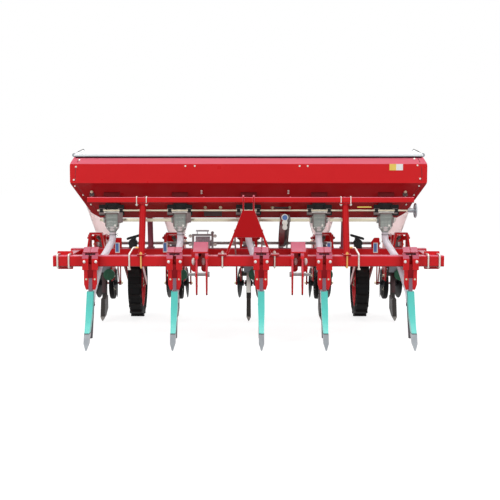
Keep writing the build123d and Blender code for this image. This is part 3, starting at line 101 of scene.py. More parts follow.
# x, and the reach below and above the beam's top
TAGS = ((-1.028, 0.034, 0.046), (0.995, 0.034, 0.046), (-0.653, 0.030, 0.049), (0.631, 0.030, 0.049))

# x and z on the hopper's sheets
HOPPER_BOLTS = (
    (-1.261, 1.333), (-1.284, 1.282), (-1.301, 1.185), (-1.296, 1.139), (-1.242, 1.071), (-1.192, 0.997),
    (1.236, 1.342), (1.256, 1.293), (1.277, 1.194), (1.273, 1.140), (1.242, 1.071), (1.192, 0.997),
    (-0.470, 1.288), (-0.400, 1.288), (0.380, 1.288), (0.440, 1.288))
BRACKET_BOLTS = ((-0.352, 1.085), (-0.352, 1.102), (0.298, 1.085), (0.298, 1.102))
END_SEAM = (
    (1.258, 1.353), (1.274, 1.318), (1.284, 1.280), (1.290, 1.230), (1.290, 1.185), (1.283, 1.150),
    (1.255, 1.100), (1.186, 1.000), (1.124, 0.906))
# x, z, width and height of the dark plates on the lower front sheet
DARK_PLATES = (
    (-1.174, 1.084, 0.036, 0.046), (1.174, 1.084, 0.036, 0.046),
    (-0.270, 0.946, 0.136, 0.084), (0.246, 0.976, 0.150, 0.022))
SMALL_PLATE = 0.050                        # plates under this size have one bolt across or two up

# solids whose finish differs from the rest of their slot
OWN_FINISH = {
    "shank_clamps": "clamp_paint", "hitch_clevises": "clamp_paint", "hitch_mast": "mast_paint",
    "hopper_posts": "post_paint", "ground_rim_left": "rim_paint", "ground_rim_right": "rim_paint",
    "gear_case": "case_steel", "drive_covers": "cover_plastic", "drive_shaft": "shaft_steel",
    "hitch_pins": "dark_pin", "frame_ubolts": "ubolt_zinc", "seed_meters": "casting",
    "shanks": "shank_steel", "seed_openers": "blade_steel"}

# every finish by its name, filled by the first operator
FINISHES = {}


def sheet_y(z, rear=False):
    """Where the hopper's front or rear sheet is at a height."""
    low, high = HOPPER
    inset = 0.0
    if z > SHOULDER:
        inset = RIM_LEAN * (z - SHOULDER) / (high.z - SHOULDER)
    elif z < KNEE:
        inset = (KNEE - z) * SLOPE
    return high.y - inset if rear else low.y + inset


def sheet_out(z, rear=False):
    """The direction the hopper's sheet faces at a height."""
    lift = 0.0
    if z > SHOULDER:
        lift = RIM_LEAN / (HOPPER[1].z - SHOULDER)
    elif z < KNEE:
        lift = -SLOPE
    return Vector((0, 1 if rear else -1, lift)).normalized()


def on_sheet(x, z, proud=0.0, rear=False):
    """A point on the hopper's sheet, or a little proud of it."""
    return Vector((x, sheet_y(z, rear), z)) + sheet_out(z, rear) * proud


def middle_of(box):
    """The middle of a box given by its low and high corners."""
    low, high = box
    return (low + high) / 2


def round_places(centre, radius, count, first=Y, second=Z, start=0.0):
    """Points evenly spaced on a circle, whose plane first and second span."""
    angles = [start + 2 * pi * k / count for k in range(count)]
    return [Vector(centre) + first * radius * cos(a) + second * radius * sin(a) for a in angles]


def tilt(rise, run):
    """A turn about X by the angle of a rise over a run."""
    return Matrix.Rotation(-atan2(rise, run), 4, "X")


# ---- settings -----------------------------------------------------------------
def colour(name, description, value):
    """A colour setting with its name, its description and its default."""
    return FloatVectorProperty(
        name=name, description=description, subtype="COLOR", size=3, min=0.0, max=1.0, default=value)


def length(name, description, value):
    """A length setting in metres."""
    return FloatProperty(name=name, description=description, unit="LENGTH", min=0.0, default=value)


class SeedDrillFinish(bpy.types.PropertyGroup):
    """Colours of the drill's finishes, in linear light."""

    red: colour("Red paint", "Frame, hopper and row units", (0.700, 0.011, 0.015))
    red_shade: colour("Red shade", "Deeper tone that mottles the red paint", (0.540, 0.006, 0.010))
    dark_red: colour("Dark red paint", "Chain guard and hopper seams", (0.200, 0.006, 0.010))
    lid: colour("Lid sheet", "Pale galvanised sheet of the lid", (0.760, 0.790, 0.810))
    zinc: colour("Zinc", "Plated bolts, lid hinges and metering shafts", (0.640, 0.600, 0.470))
    steel: colour("Bright steel", "Points, handwheel and latch bosses", (0.270, 0.295, 0.320))
    dull_steel: colour("Dull steel", "Fertiliser boots", (0.120, 0.110, 0.130))
    black_steel: colour("Black steel", "Covering discs, collars and sleeve rings", (0.012, 0.012, 0.013))
    sleeve: colour("Sleeve", "Turquoise sleeves of the shanks", (0.075, 0.560, 0.500))
    clear_grey: colour("Clear grey plastic", "Fertiliser meter housings", (0.520, 0.590, 0.550))
    tube: colour("Tube", "Milky drop tubes", (0.970, 0.930, 0.990))
    seed_box: colour("Seed box", "Pale clear red plastic", (0.990, 0.900, 0.895))
    green: colour("Green plastic", "Seed meter covers", (0.016, 0.135, 0.065))
    rubber: colour("Rubber", "Tyres", (0.009, 0.009, 0.010))
    dust: colour("Dust", "Pale dust on upward faces", (0.620, 0.560, 0.500))
    # Lit top and Clamp top are a painted reflection of the sky on faces turned up
    sky_sheen: colour("Lit top", "Bleached paint of the faces turned to the sky", (0.320, 0.560, 0.860))
    clamp_sheen: colour("Clamp top", "Bleached tops of the clamps and hitch plates", (0.150, 0.200, 0.310))
    # Deep red paint is the red paint darkened as painted shade
    shaded_red: colour("Deep red paint", "Mast and posts", (0.470, 0.006, 0.009))
    rear_post: colour("Rear post", "Faded paint of the two rear posts", (0.370, 0.105, 0.145))
    rim_red: colour("Rim red", "Glossy red of the ground wheels' spokes", (0.740, 0.060, 0.070))


class SeedDrillSizes(bpy.types.PropertyGroup):
    """Sizes of the small fittings that the solids leave out."""

    bolt_head: length("Bolt head", "Width across the flats of the common bolt heads", 0.016)
    cap_nut: length("Cap nut", "Width of the white cap nuts on the clamps", 0.0165)
    seal: length("Seal", "Thickness of the black seal under the lid", 0.0045)
    spring_wire: length("Spring wire", "Wire thickness of the row springs", 0.005)
    spring_turns: IntProperty(
        name="Spring turns", description="Turns of each row spring", min=4, max=40, default=20)


# ---- node groups and materials ---------------------------------------------------
def make_group(name, inputs, outputs):
    """A shader node group with named sockets, and its two end nodes."""
    group = bpy.data.node_groups.new(name, "ShaderNodeTree")
    for label, kind, value in inputs:
        socket = group.interface.new_socket(name=label, in_out="INPUT", socket_type=kind)
        socket.default_value = value
    for label, kind in outputs:
        group.interface.new_socket(name=label, in_out="OUTPUT", socket_type=kind)
    return group, group.nodes.new("NodeGroupInput"), group.nodes.new("NodeGroupOutput")


def node(tree, kind, **values):
    """A node with its plain settings made in one call."""
    made = tree.nodes.new(kind)
    for key, value in values.items():
        setattr(made, key, value)
    return made


def math_node(tree, operation, first, second, clamp=False):
    """A maths node whose inputs are links or numbers."""
    made = node(tree, "ShaderNodeMath", operation=operation, use_clamp=clamp)
    for index, value in enumerate((first, second)):
        if hasattr(value, "links"):
            tree.links.new(value, made.inputs[index])
        else:
            made.inputs[index].default_value = value
    return made.outputs[0]


def mix_colour(tree, factor, first, second):
    """A colour mix whose inputs are links or colours."""
    made = node(tree, "ShaderNodeMix", data_type="RGBA")
    for socket, value in ((made.inputs[0], factor), (made.inputs[6], first), (made.inputs[7], second)):
        if hasattr(value, "links"):
            tree.links.new(value, socket)
        else:
            socket.default_value = value
    return made.outputs[2]


FINE_NOISE = 260.0                         # scale of the noise that the bump uses
DUST_GAIN = 1.6                            # how strongly the noise gathers the dust
DUST_DULLS = 0.4                           # roughness that full dust adds
SKY_START = 0.37                           # upward part of the normal where the painted sky sheen starts
SKY_RAMP = 6.0                             # how fast it then grows
UNDER_RAMP = -1.7                          # how fast the painted shade grows on what faces down
# near-black red of the painted shade below
PAINTED_SHADE = (0.020, 0.001, 0.002, 1.0)
EDGE_GAIN = 6.0                            # how strongly a turn of the edge shows as painted highlight


def weather_and_light_group():
    """Mottled colour and uneven gloss, dusty above, with a painted sky sheen on faces turned up and painted
    shade on faces turned down.
    """
    group, start, end = make_group(
        "weather_and_painted_light",
        [("Color", "NodeSocketColor", (0.5, 0.5, 0.5, 1)), ("Shade", "NodeSocketColor", (0.3, 0.3, 0.3, 1)),
         ("Mottle Scale", "NodeSocketFloat", 9.0), ("Mottle", "NodeSocketFloat", 0.3),
         ("Roughness", "NodeSocketFloat", 0.4), ("Roughness Spread", "NodeSocketFloat", 0.15),
         ("Dust Color", "NodeSocketColor", (0.6, 0.55, 0.5, 1)), ("Dust", "NodeSocketFloat", 0.1),
         ("Painted Sheen Color", "NodeSocketColor", (0.9, 0.6, 0.65, 1)), ("Top", "NodeSocketFloat", 0.0),
         ("Painted Shade Below", "NodeSocketFloat", 0.0)],
        [("Color", "NodeSocketColor"), ("Roughness", "NodeSocketFloat"), ("Height", "NodeSocketFloat")])
    place = node(group, "ShaderNodeTexCoord")
    wide = node(group, "ShaderNodeTexNoise")
    wide.inputs["Detail"].default_value = 5.0
    group.links.new(place.outputs["Object"], wide.inputs["Vector"])
    group.links.new(start.outputs["Mottle Scale"], wide.inputs["Scale"])
    fine = node(group, "ShaderNodeTexNoise")
    fine.inputs["Scale"].default_value = FINE_NOISE
    fine.inputs["Detail"].default_value = 2.0
    group.links.new(place.outputs["Object"], fine.inputs["Vector"])
    split = node(group, "ShaderNodeSeparateXYZ")
    group.links.new(place.outputs["Normal"], split.inputs[0])
    up = math_node(group, "POWER", math_node(group, "MAXIMUM", split.outputs["Z"], 0.0), 2.0)
    patch = math_node(group, "MULTIPLY", up, math_node(group, "MULTIPLY", wide.outputs[0], DUST_GAIN))
    dusty = math_node(group, "MULTIPLY", patch, start.outputs["Dust"], clamp=True)
    mottle = math_node(group, "MULTIPLY", wide.outputs[0], start.outputs["Mottle"], clamp=True)
    painted = mix_colour(group, mottle, start.outputs["Color"], start.outputs["Shade"])
    # a painted reflection of the sky on faces turned up
    skyward = math_node(group, "SUBTRACT", split.outputs["Z"], SKY_START)
    painted_sheen = math_node(group, "MULTIPLY", math_node(group, "MULTIPLY", skyward, SKY_RAMP, clamp=True),
                       start.outputs["Top"])
    sheened = mix_colour(group, painted_sheen, painted, start.outputs["Painted Sheen Color"])
    # painted shade on faces turned down
    downward = math_node(group, "MULTIPLY", split.outputs["Z"], UNDER_RAMP, clamp=True)
    below = math_node(group, "MULTIPLY", downward, start.outputs["Painted Shade Below"])
    shaded_below = mix_colour(group, below, sheened, PAINTED_SHADE)
    group.links.new(mix_colour(group, dusty, shaded_below, start.outputs["Dust Color"]), end.inputs["Color"])
    swing = math_node(group, "MULTIPLY", math_node(group, "SUBTRACT", wide.outputs[0], 0.5),
                      start.outputs["Roughness Spread"])
    rough = math_node(group, "ADD", start.outputs["Roughness"], swing)
    dulled = math_node(group, "MULTIPLY", dusty, DUST_DULLS)
    group.links.new(math_node(group, "ADD", rough, dulled, clamp=True), end.inputs["Roughness"])
    group.links.new(fine.outputs[0], end.inputs["Height"])
    return group


def edge_highlight_group():
    """A mask of convex edges for a painted highlight, and a normal rounded over them."""
    group, start, end = make_group(
        "edge_highlight",
        [("Radius", "NodeSocketFloat", 0.003), ("Strength", "NodeSocketFloat", 1.0)],
        [("Mask", "NodeSocketFloat"), ("Normal", "NodeSocketVector")])
    bevel = node(group, "ShaderNodeBevel", samples=4)
    group.links.new(start.outputs["Radius"], bevel.inputs["Radius"])
    flat = node(group, "ShaderNodeNewGeometry")
    dot = node(group, "ShaderNodeVectorMath", operation="DOT_PRODUCT")
    group.links.new(bevel.outputs[0], dot.inputs[0])
    group.links.new(flat.outputs["Normal"], dot.inputs[1])
    turned = math_node(group, "SUBTRACT", 1.0, dot.outputs["Value"])
    highlight_edges = math_node(group, "MULTIPLY", turned, EDGE_GAIN)
    mask = math_node(group, "MULTIPLY", highlight_edges, start.outputs["Strength"], clamp=True)
    group.links.new(mask, end.inputs["Mask"])
    group.links.new(bevel.outputs[0], end.inputs["Normal"])
    return group


def rgba(value):
    """A colour with full alpha."""
    return (value[0], value[1], value[2], 1.0)


class Finish:
    """Builds one Principled material round the shared groups."""

    def __init__(self, name, base, shade, rough, colours, mottle=0.3, scale=9.0, dust=0.1,
                 top=0.0, top_colour=None, under=0.0):
        self.name = name
        self.material = bpy.data.materials.new(name)
        self.material.use_nodes = True
        self.tree = self.material.node_tree
        self.shader = self.tree.nodes["Principled BSDF"]
        self.weather_and_light = node(self.tree, "ShaderNodeGroup", node_tree=bpy.data.node_groups["weather_and_painted_light"])
        # top sets the painted sky sheen on faces turned up, and under the painted shade on faces turned
        # down
        for label, value in (("Color", rgba(base)), ("Shade", rgba(shade)), ("Mottle Scale", scale),
                             ("Mottle", mottle), ("Roughness", rough),
                             ("Dust Color", rgba(colours.dust)), ("Dust", dust),
                             ("Painted Sheen Color", rgba(top_colour or colours.sky_sheen)), ("Top", top),
                             ("Painted Shade Below", under)):
            self.weather_and_light.inputs[label].default_value = value
        self.colour = self.weather_and_light.outputs["Color"]
        self.tree.links.new(self.weather_and_light.outputs["Roughness"], self.shader.inputs["Roughness"])
        self.bump = node(self.tree, "ShaderNodeBump")
        self.bump.inputs["Distance"].default_value = 0.0004
        self.bump.inputs["Strength"].default_value = 0.25
        self.tree.links.new(self.weather_and_light.outputs["Height"], self.bump.inputs["Height"])
        self.tree.links.new(self.bump.outputs[0], self.shader.inputs["Normal"])

    def highlight_edges(self, edge_colour, radius, strength):
        """Rounds the edges, and lightens them as a painted highlight."""
        edge = node(self.tree, "ShaderNodeGroup", node_tree=bpy.data.node_groups["edge_highlight"])
        edge.inputs["Radius"].default_value = radius
        edge.inputs["Strength"].default_value = strength
        self.tree.links.new(edge.outputs["Normal"], self.bump.inputs["Normal"])
        self.colour = mix_colour(self.tree, edge.outputs["Mask"], self.colour, rgba(edge_colour))
        return self

    def band(self, axis, centre, half, other_colour):
        """Another colour within a slice of the solid across an axis."""
        place = node(self.tree, "ShaderNodeTexCoord")
        split = node(self.tree, "ShaderNodeSeparateXYZ")
        self.tree.links.new(place.outputs["Object"], split.inputs[0])
        near = node(self.tree, "ShaderNodeMath", operation="COMPARE")
        self.tree.links.new(split.outputs[axis], near.inputs[0])
        near.inputs[1].default_value = centre
        near.inputs[2].default_value = half
        self.colour = mix_colour(self.tree, near.outputs[0], self.colour, rgba(other_colour))
        return self

    def grain(self, scale, stretch, depth):
        """Adds drawn or cast grain to the bump."""
        place = node(self.tree, "ShaderNodeTexCoord")
        mapping = node(self.tree, "ShaderNodeMapping")
        mapping.inputs["Scale"].default_value = stretch
        noise = node(self.tree, "ShaderNodeTexNoise")
        noise.inputs["Scale"].default_value = scale
        noise.inputs["Detail"].default_value = 6.0
        self.tree.links.new(place.outputs["Object"], mapping.inputs["Vector"])
        self.tree.links.new(mapping.outputs[0], noise.inputs["Vector"])
        self.tree.links.new(noise.outputs[0], self.bump.inputs["Height"])
        self.bump.inputs["Distance"].default_value = depth
        return self

    def done(self, **sockets):
        """Links the colour, sets what is the same all over and keeps the finish."""
        self.tree.links.new(self.colour, self.shader.inputs["Base Color"])
        for label, value in sockets.items():
            self.shader.inputs[label.replace("_", " ")].default_value = value
        FINISHES[self.name] = self.material


RED_EDGE_HIGHLIGHT = (0.80, 0.16, 0.15)              # painted highlight on a red edge
BLACK = (0.010, 0.010, 0.011)
BLACK_SHADE = (0.025, 0.025, 0.025)
PALE_ZINC_SHADE = (0.60, 0.58, 0.52)
EVEN = (1, 1, 1)                           # grain that isn't drawn out along an axis


def make_paints(colours):
    """Paints of the frame, and of the plates and tags."""
    new = partial(Finish, colours=colours)
    new("red_paint", colours.red, colours.red_shade, 0.30, mottle=0.35, dust=0.02, top=0.20,
        under=0.52).highlight_edges(RED_EDGE_HIGHLIGHT, 0.0025, 0.35).done(
        Specular_IOR_Level=0.18, Coat_Weight=0.08, Coat_Roughness=0.12)
    new("clamp_paint", colours.red, colours.red_shade, 0.30, mottle=0.35, dust=0.02, top=0.45,
        top_colour=colours.clamp_sheen, under=0.52).highlight_edges(RED_EDGE_HIGHLIGHT, 0.0025, 0.35).done(
        Specular_IOR_Level=0.18, Coat_Weight=0.08)
    # the mast and posts take the red darkened as painted shade
    new("mast_paint", colours.shaded_red, colours.red_shade, 0.34, dust=0.02, top=0.12, under=0.40).highlight_edges(
        (0.92, 0.36, 0.40), 0.004, 1.0).done(Specular_IOR_Level=0.12)
    new("post_paint", colours.shaded_red, colours.red_shade, 0.34, dust=0.02, top=0.12, under=0.40).highlight_edges(
        (0.80, 0.22, 0.24), 0.0025, 0.5).band("Y", REAR + 0.046, 0.120, colours.rear_post).done(
        Specular_IOR_Level=0.12)
    new("rim_paint", colours.rim_red, colours.red_shade, 0.22, mottle=0.35, dust=0.05).highlight_edges(
        (0.95, 0.55, 0.55), 0.003, 0.8).done(Coat_Weight=0.6, Coat_Roughness=0.1)
    new("dark_red_paint", colours.dark_red, (0.10, 0.004, 0.006), 0.45).done(Coat_Weight=0.15)
    # dark red of the painted shade between the clamps' legs
    new("socket_paint", (0.330, 0.006, 0.012), (0.16, 0.004, 0.008), 0.45, mottle=0.6, scale=24.0, dust=0.0,
        under=0.5).done(Specular_IOR_Level=0.15)
    # near-black of the painted shade over the meters' throats
    new("flange_paint", (0.130, 0.003, 0.005), (0.07, 0.002, 0.003), 0.5, mottle=0.8, scale=30.0, dust=0.0,
        under=0.5).done(Specular_IOR_Level=0.1)
    new("primer", (0.055, 0.022, 0.024), (0.030, 0.014, 0.016), 0.55, mottle=0.6, scale=30.0).done(
        Metallic=0.2)
    new("yellow_plate", (0.86, 0.62, 0.12), (0.74, 0.52, 0.10), 0.42, mottle=0.2).done()
    new("blue_plate", (0.10, 0.22, 0.52), (0.08, 0.17, 0.42), 0.40, mottle=0.2).done()


def make_zincs(colours):
    """Plated sheet and bolts, and the dark pins."""
    new = partial(Finish, colours=colours)
    new("galvanised", colours.lid, (0.62, 0.65, 0.68), 0.42, mottle=0.5, scale=30.0, dust=0.05).done(
        Metallic=0.25)
    new("zinc", colours.zinc, (0.50, 0.45, 0.30), 0.34, mottle=0.6, scale=40.0).done(Metallic=0.85)
    new("white_zinc", (0.780, 0.770, 0.720), PALE_ZINC_SHADE, 0.30, mottle=0.5, scale=40.0).done(
        Metallic=0.55)
    ubolt = new("ubolt_zinc", (0.780, 0.740, 0.680), PALE_ZINC_SHADE, 0.30, mottle=0.5, scale=40.0)
    for post in POST_X:
        ubolt.band("X", post, 0.045, (0.780, 0.430, 0.130))
    ubolt.done(Metallic=0.55)
    new("dark_pin", (0.300, 0.260, 0.265), (0.140, 0.120, 0.120), 0.34, mottle=0.7, scale=50.0).done(
        Metallic=0.6)


def make_steels(colours):
    """Bare, cast and blackened steel."""
    new = partial(Finish, colours=colours)
    new("bright_steel", colours.steel, (0.42, 0.43, 0.45), 0.32, mottle=0.6, scale=25.0).grain(
        90.0, (1, 1, 8), 0.0004).done(Metallic=0.8)
    new("grey_steel", colours.dull_steel, (0.06, 0.05, 0.05), 0.5, mottle=0.7, scale=20.0).done(
        Metallic=0.5)
    new("chain_steel", (0.20, 0.19, 0.18), (0.06, 0.05, 0.04), 0.42, mottle=0.8, scale=60.0).done(
        Metallic=0.8)
    new("dark_steel", colours.black_steel, (0.04, 0.036, 0.03), 0.5, mottle=0.6, scale=16.0).grain(
        120.0, EVEN, 0.0005).done(Metallic=0.4)
    new("disc_steel", colours.black_steel, (0.03, 0.03, 0.034), 0.46, mottle=0.5, scale=14.0,
        dust=0.02).highlight_edges((0.34, 0.37, 0.46), 0.003, 0.8).done(Metallic=0.1, Specular_IOR_Level=0.15)
    new("case_steel", (0.520, 0.450, 0.490), (0.260, 0.210, 0.240), 0.42, mottle=0.6, scale=40.0).highlight_edges(
        (0.60, 0.58, 0.58), 0.002, 0.8).done(Metallic=0.4)
    new("shaft_steel", (0.450, 0.430, 0.425), (0.200, 0.185, 0.180), 0.36, mottle=0.7, scale=24.0).done(
        Metallic=0.5)
    new("casting", (0.250, 0.270, 0.300), (0.110, 0.115, 0.125), 0.46, mottle=0.7, scale=30.0,
        under=0.3).highlight_edges((0.55, 0.57, 0.60), 0.002, 0.7).grain(110.0, EVEN, 0.0005).done(Metallic=0.4)
    new("shank_steel", (0.215, 0.120, 0.165), (0.120, 0.070, 0.090), 0.48, mottle=0.6, scale=20.0).highlight_edges(
        (0.50, 0.47, 0.50), 0.002, 0.6).done(Metallic=0.5)
    new("blade_steel", (0.034, 0.032, 0.030), (0.070, 0.062, 0.056), 0.46, mottle=0.6, scale=16.0,
        dust=0.02).highlight_edges((0.40, 0.40, 0.40), 0.003, 0.9).band("Z", 0.0, 0.050, (0.300, 0.285, 0.265)).grain(
        120.0, EVEN, 0.0005).done(Metallic=0.2, Specular_IOR_Level=0.25)
    new("ear_steel", (0.270, 0.210, 0.205), (0.120, 0.090, 0.085), 0.48, mottle=0.8, scale=50.0).done(
        Metallic=0.4)


def make_plastics(colours):
    """Plastics, clear, milky and solid, and the rubbers."""
    new = partial(Finish, colours=colours)
    new("cover_plastic", BLACK, BLACK_SHADE, 0.5, dust=0.02).band(
        "X", -0.360, 0.150, (0.480, 0.455, 0.465)).done(Specular_IOR_Level=0.3)
    new("black_plastic", BLACK, BLACK_SHADE, 0.55, dust=0.02).done(Specular_IOR_Level=0.2)
    new("pale_plastic", (0.640, 0.700, 0.660), (0.50, 0.56, 0.52), 0.30, mottle=0.4, scale=30.0).done(
        Coat_Weight=0.3)
    new("white_plastic", (0.88, 0.88, 0.86), (0.74, 0.74, 0.72), 0.40).done(Coat_Weight=0.1)
    new("green_plastic", colours.green, (0.006, 0.050, 0.026), 0.36, dust=0.0).done(
        Specular_IOR_Level=0.35)
    new("sleeve_plastic", colours.sleeve, (0.070, 0.52, 0.45), 0.36, scale=12.0, dust=0.04).grain(
        14.0, (1, 1, 3), 0.0015).done(Coat_Weight=0.2)
    new("meter_plastic", colours.clear_grey, (0.25, 0.30, 0.26), 0.30, mottle=0.5, scale=24.0).done(
        Transmission_Weight=0.35)
    new("tube_plastic", colours.tube, (0.76, 0.73, 0.82), 0.34, scale=18.0).done(
        Transmission_Weight=0.25, IOR=1.12)
    new("seed_box_plastic", colours.seed_box, (0.98, 0.86, 0.85), 0.30, mottle=0.2, dust=0.02).done(
        Transmission_Weight=0.85, IOR=1.15)
    new("tyre_rubber", colours.rubber, (0.020, 0.019, 0.018), 0.62, mottle=0.6, scale=20.0,
        dust=0.06).grain(160.0, EVEN, 0.0004).done(Specular_IOR_Level=0.12)
    new("seal_rubber", (0.030, 0.006, 0.010), (0.015, 0.004, 0.006), 0.8, dust=0.0).done(
        Specular_IOR_Level=0.1)


# ---- mesh helpers ----------------------------------------------------------------
class Maker:
    """Collects simple forms into one mesh piece."""

    # how far up a cap nut each section is, and its radius, both as parts of its width
    CAP_SECTIONS = ((0.0, 0.62), (0.10, 0.62), (0.14, 0.52), (0.62, 0.50), (0.84, 0.40), (0.96, 0.20))

    def __init__(self):
        self.mesh = bmesh.new()

    def round_section(self, centre, across, other, radius, sides):
        """The vertices of one round section."""
        return [self.mesh.verts.new(place) for place in round_places(centre, radius, sides, across, other)]

    def skin(self, low, high):
        """The faces between two sections."""
        sides = len(low)
        for k in range(sides):
            self.mesh.faces.new((low[k], low[(k + 1) % sides], high[(k + 1) % sides], high[k]))

    def frustum(self, start, end, radius, far_radius=None, sides=16):
        """A round or many-sided bar from start to end."""
        start, end = Vector(start), Vector(end)
        along = (end - start).normalized()
        across = along.orthogonal().normalized()
        other = along.cross(across)
        near = self.round_section(start, across, other, radius, sides)
        far = self.round_section(end, across, other, radius if far_radius is None else far_radius, sides)
        self.skin(near, far)
        self.mesh.faces.new(near[::-1])
        self.mesh.faces.new(far)

    def sweep(self, points, radius, sides=10, closed=False):
        """A tube through points, its section kept square to the path."""
        points = [Vector(p) for p in points]
        count = len(points)
        side = None
        sections = []
        for k, point in enumerate(points):
            before = points[(k - 1) % count] if closed or k else point
            after = points[(k + 1) % count] if closed or k < count - 1 else point
            along = (after - before).normalized()
            side = along.orthogonal() if side is None else side - along * side.dot(along)
            side.normalize()
            sections.append(self.round_section(point, side, along.cross(side), radius, sides))
        for k in range(count if closed else count - 1):
            self.skin(sections[k], sections[(k + 1) % count])
        if not closed:
            self.mesh.faces.new(sections[0][::-1])
            self.mesh.faces.new(sections[-1])

    def ring(self, centre, radius, wire, steps, first=Y, second=Z, sides=6):
        """A closed wire ring; wire is the radius of its section."""
        self.sweep(round_places(centre, radius, steps, first, second), wire, sides, closed=True)

    def block(self, low, high, bevel=0.0, turn=None):
        """A box between two corners, with bevelled edges; turn is a matrix about its middle."""
        low, high = Vector(low), Vector(high)
        centre = (low + high) / 2
        size = high - low
        place = Matrix.Translation(centre) @ (turn or Matrix.Identity(4)) @ Matrix.Diagonal((*size, 1.0))
        made = bmesh.ops.create_cube(self.mesh, size=1.0, matrix=place)
        if bevel:
            edges = list({e for v in made["verts"] for e in v.link_edges})
            bmesh.ops.bevel(self.mesh, geom=edges, offset=bevel, segments=2, affect="EDGES", profile=0.5)

    def slab(self, centre, half, bevel=0.0, turn=None):
        """A block by its middle and half its size."""
        centre, half = Vector(centre), Vector(half)
        self.block(centre - half, centre + half, bevel, turn)

    def bolt(self, seat, outward, width):
        """A hexagon head on a washer, standing on seat."""
        seat, outward = Vector(seat), Vector(outward).normalized()
        head = seat + outward * width * 0.12
        self.frustum(seat, head, width * 0.95, sides=18)
        self.frustum(head, head + outward * width * 0.55, width * 0.577, sides=6)
        self.frustum(head + outward * width * 0.55, head + outward * width * 0.62,
                     width * 0.577, width * 0.46, sides=6)

    def cap_nut(self, seat, outward, width, tall=1.0):
        """A domed plastic nut cover, stretched upward by tall."""
        old = set(self.mesh.verts)
        seat, outward = Vector(seat), Vector(outward).normalized()
        for (low, size), (high, top) in zip(self.CAP_SECTIONS, self.CAP_SECTIONS[1:]):
            self.frustum(seat + outward * width * low, seat + outward * width * high,
                         width * size, width * top, sides=14)
        for vert in self.mesh.verts:
            if vert not in old:
                vert.co.z = seat.z + (vert.co.z - seat.z) * tall

    def piece(self, name, finish, slot=None, body="frame"):
        """The finished mesh as a piece that rides on a body."""
        bmesh.ops.recalc_face_normals(self.mesh, faces=self.mesh.faces)
        data = bpy.data.meshes.new(name)
        self.mesh.to_mesh(data)
        self.mesh.free()
        made = bpy.data.objects.new(name, data)
        bpy.context.scene.collection.objects.link(made)
        data.materials.append(FINISHES[finish])
        data.shade_smooth()
        data.set_sharp_from_angle(angle=SMOOTH_ANGLE)
        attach(made, body)
        return made


# ---- operators ---------------------------------------------------------------------
class SEEDDRILL_OT_finishes(bpy.types.Operator):
    """Make the finishes, and give every solid its own or the one of its slot"""

    bl_idname = "seed_drill.finishes"
    bl_label = "Finishes"

    def execute(self, context):
        weather_and_light_group()
        edge_highlight_group()
        for make in (make_paints, make_zincs, make_steels, make_plastics):
            make(context.scene.seed_drill_finish)
        slots = {part["node"]: part["material_slot"] for part in frame["record"]["subparts"]}
        for name, solid in frame["nodes"].items():
            solid.data.materials.clear()
            solid.data.materials.append(FINISHES[OWN_FINISH.get(name, slots[name])])
        return {"FINISHED"}


class SEEDDRILL_OT_clamp_fasteners(bpy.types.Operator):
    """Cap nuts, bolts, painted shadow strips under the roofs and dark plates of painted shade between the
    legs of the clamps, and the hitch plates' caps and shoulders
    """

    bl_idname = "seed_drill.clamp_fasteners"
    bl_label = "Clamp fasteners"

    def execute(self, context):
        sizes = context.scene.seed_drill_sizes
        brow = FRONT - 0.066
        plate = FRONT - 0.056
        shank = FRONT - 0.036
        hitch_plate = 0.036                # from the middle of a pair to each plate
        caps = Maker()
        for x in OPENER_X:
            for s in SIDES:
                caps.cap_nut((x + s * 0.042, brow, 0.604), -Y, sizes.cap_nut, tall=1.15)
        for x, outward in HITCH_X:
            for s in SIDES:
                seat = Vector((x + s * hitch_plate + outward * 0.027, FRONT - 0.010, 0.602))
                caps.frustum(seat, seat - Y * 0.014, sizes.cap_nut * 0.6, sides=14)
                caps.cap_nut(seat - Y * 0.013, -Y, sizes.cap_nut * 1.3, tall=2.0)
        caps.piece("clamp_cap_nuts", "white_plastic")
        shoulders = Maker()
        for x, _ in HITCH_X:
            for s in SIDES:
                shoulders.slab((x + s * hitch_plate, FRONT - 0.0985, 0.6455), (0.0125, 0.0020, 0.0215),
                               bevel=SOFT_EDGE, turn=tilt(0.066, 0.139))
        shoulders.piece("hitch_shoulders", "clamp_paint", "red_paint")
        bolts = Maker()
        for x in OPENER_X:
            for s in SIDES:
                bolts.bolt((x + s * 0.031, plate, 0.476), -Y, sizes.bolt_head * 0.45)
                for height in (0.440, 0.520):
                    bolts.bolt((x + s * 0.0225, shank, height), X * s, sizes.bolt_head)
        bolts.piece("clamp_bolts", "zinc", "zinc")
        seams, sockets = Maker(), Maker()
        for x in OPENER_X:
            # a near-black strip under each clamp roof's front edge, a painted shadow
            seams.slab((x, FRONT - 0.0470, 0.6577), (0.037, 0.0006, 0.0062), turn=tilt(0.026, 0.042))
            # a dark red plate between the clamp's legs, painted shade
            sockets.block((x - 0.020, plate - 0.0015, 0.484), (x + 0.020, plate + 0.0010, 0.584),
                          bevel=0.0005)
        seams.piece("clamp_roof_shadows", "seal_rubber", "dark_red_paint")
        sockets.piece("clamp_gap_shades", "socket_paint", "dark_red_paint")
        return {"FINISHED"}


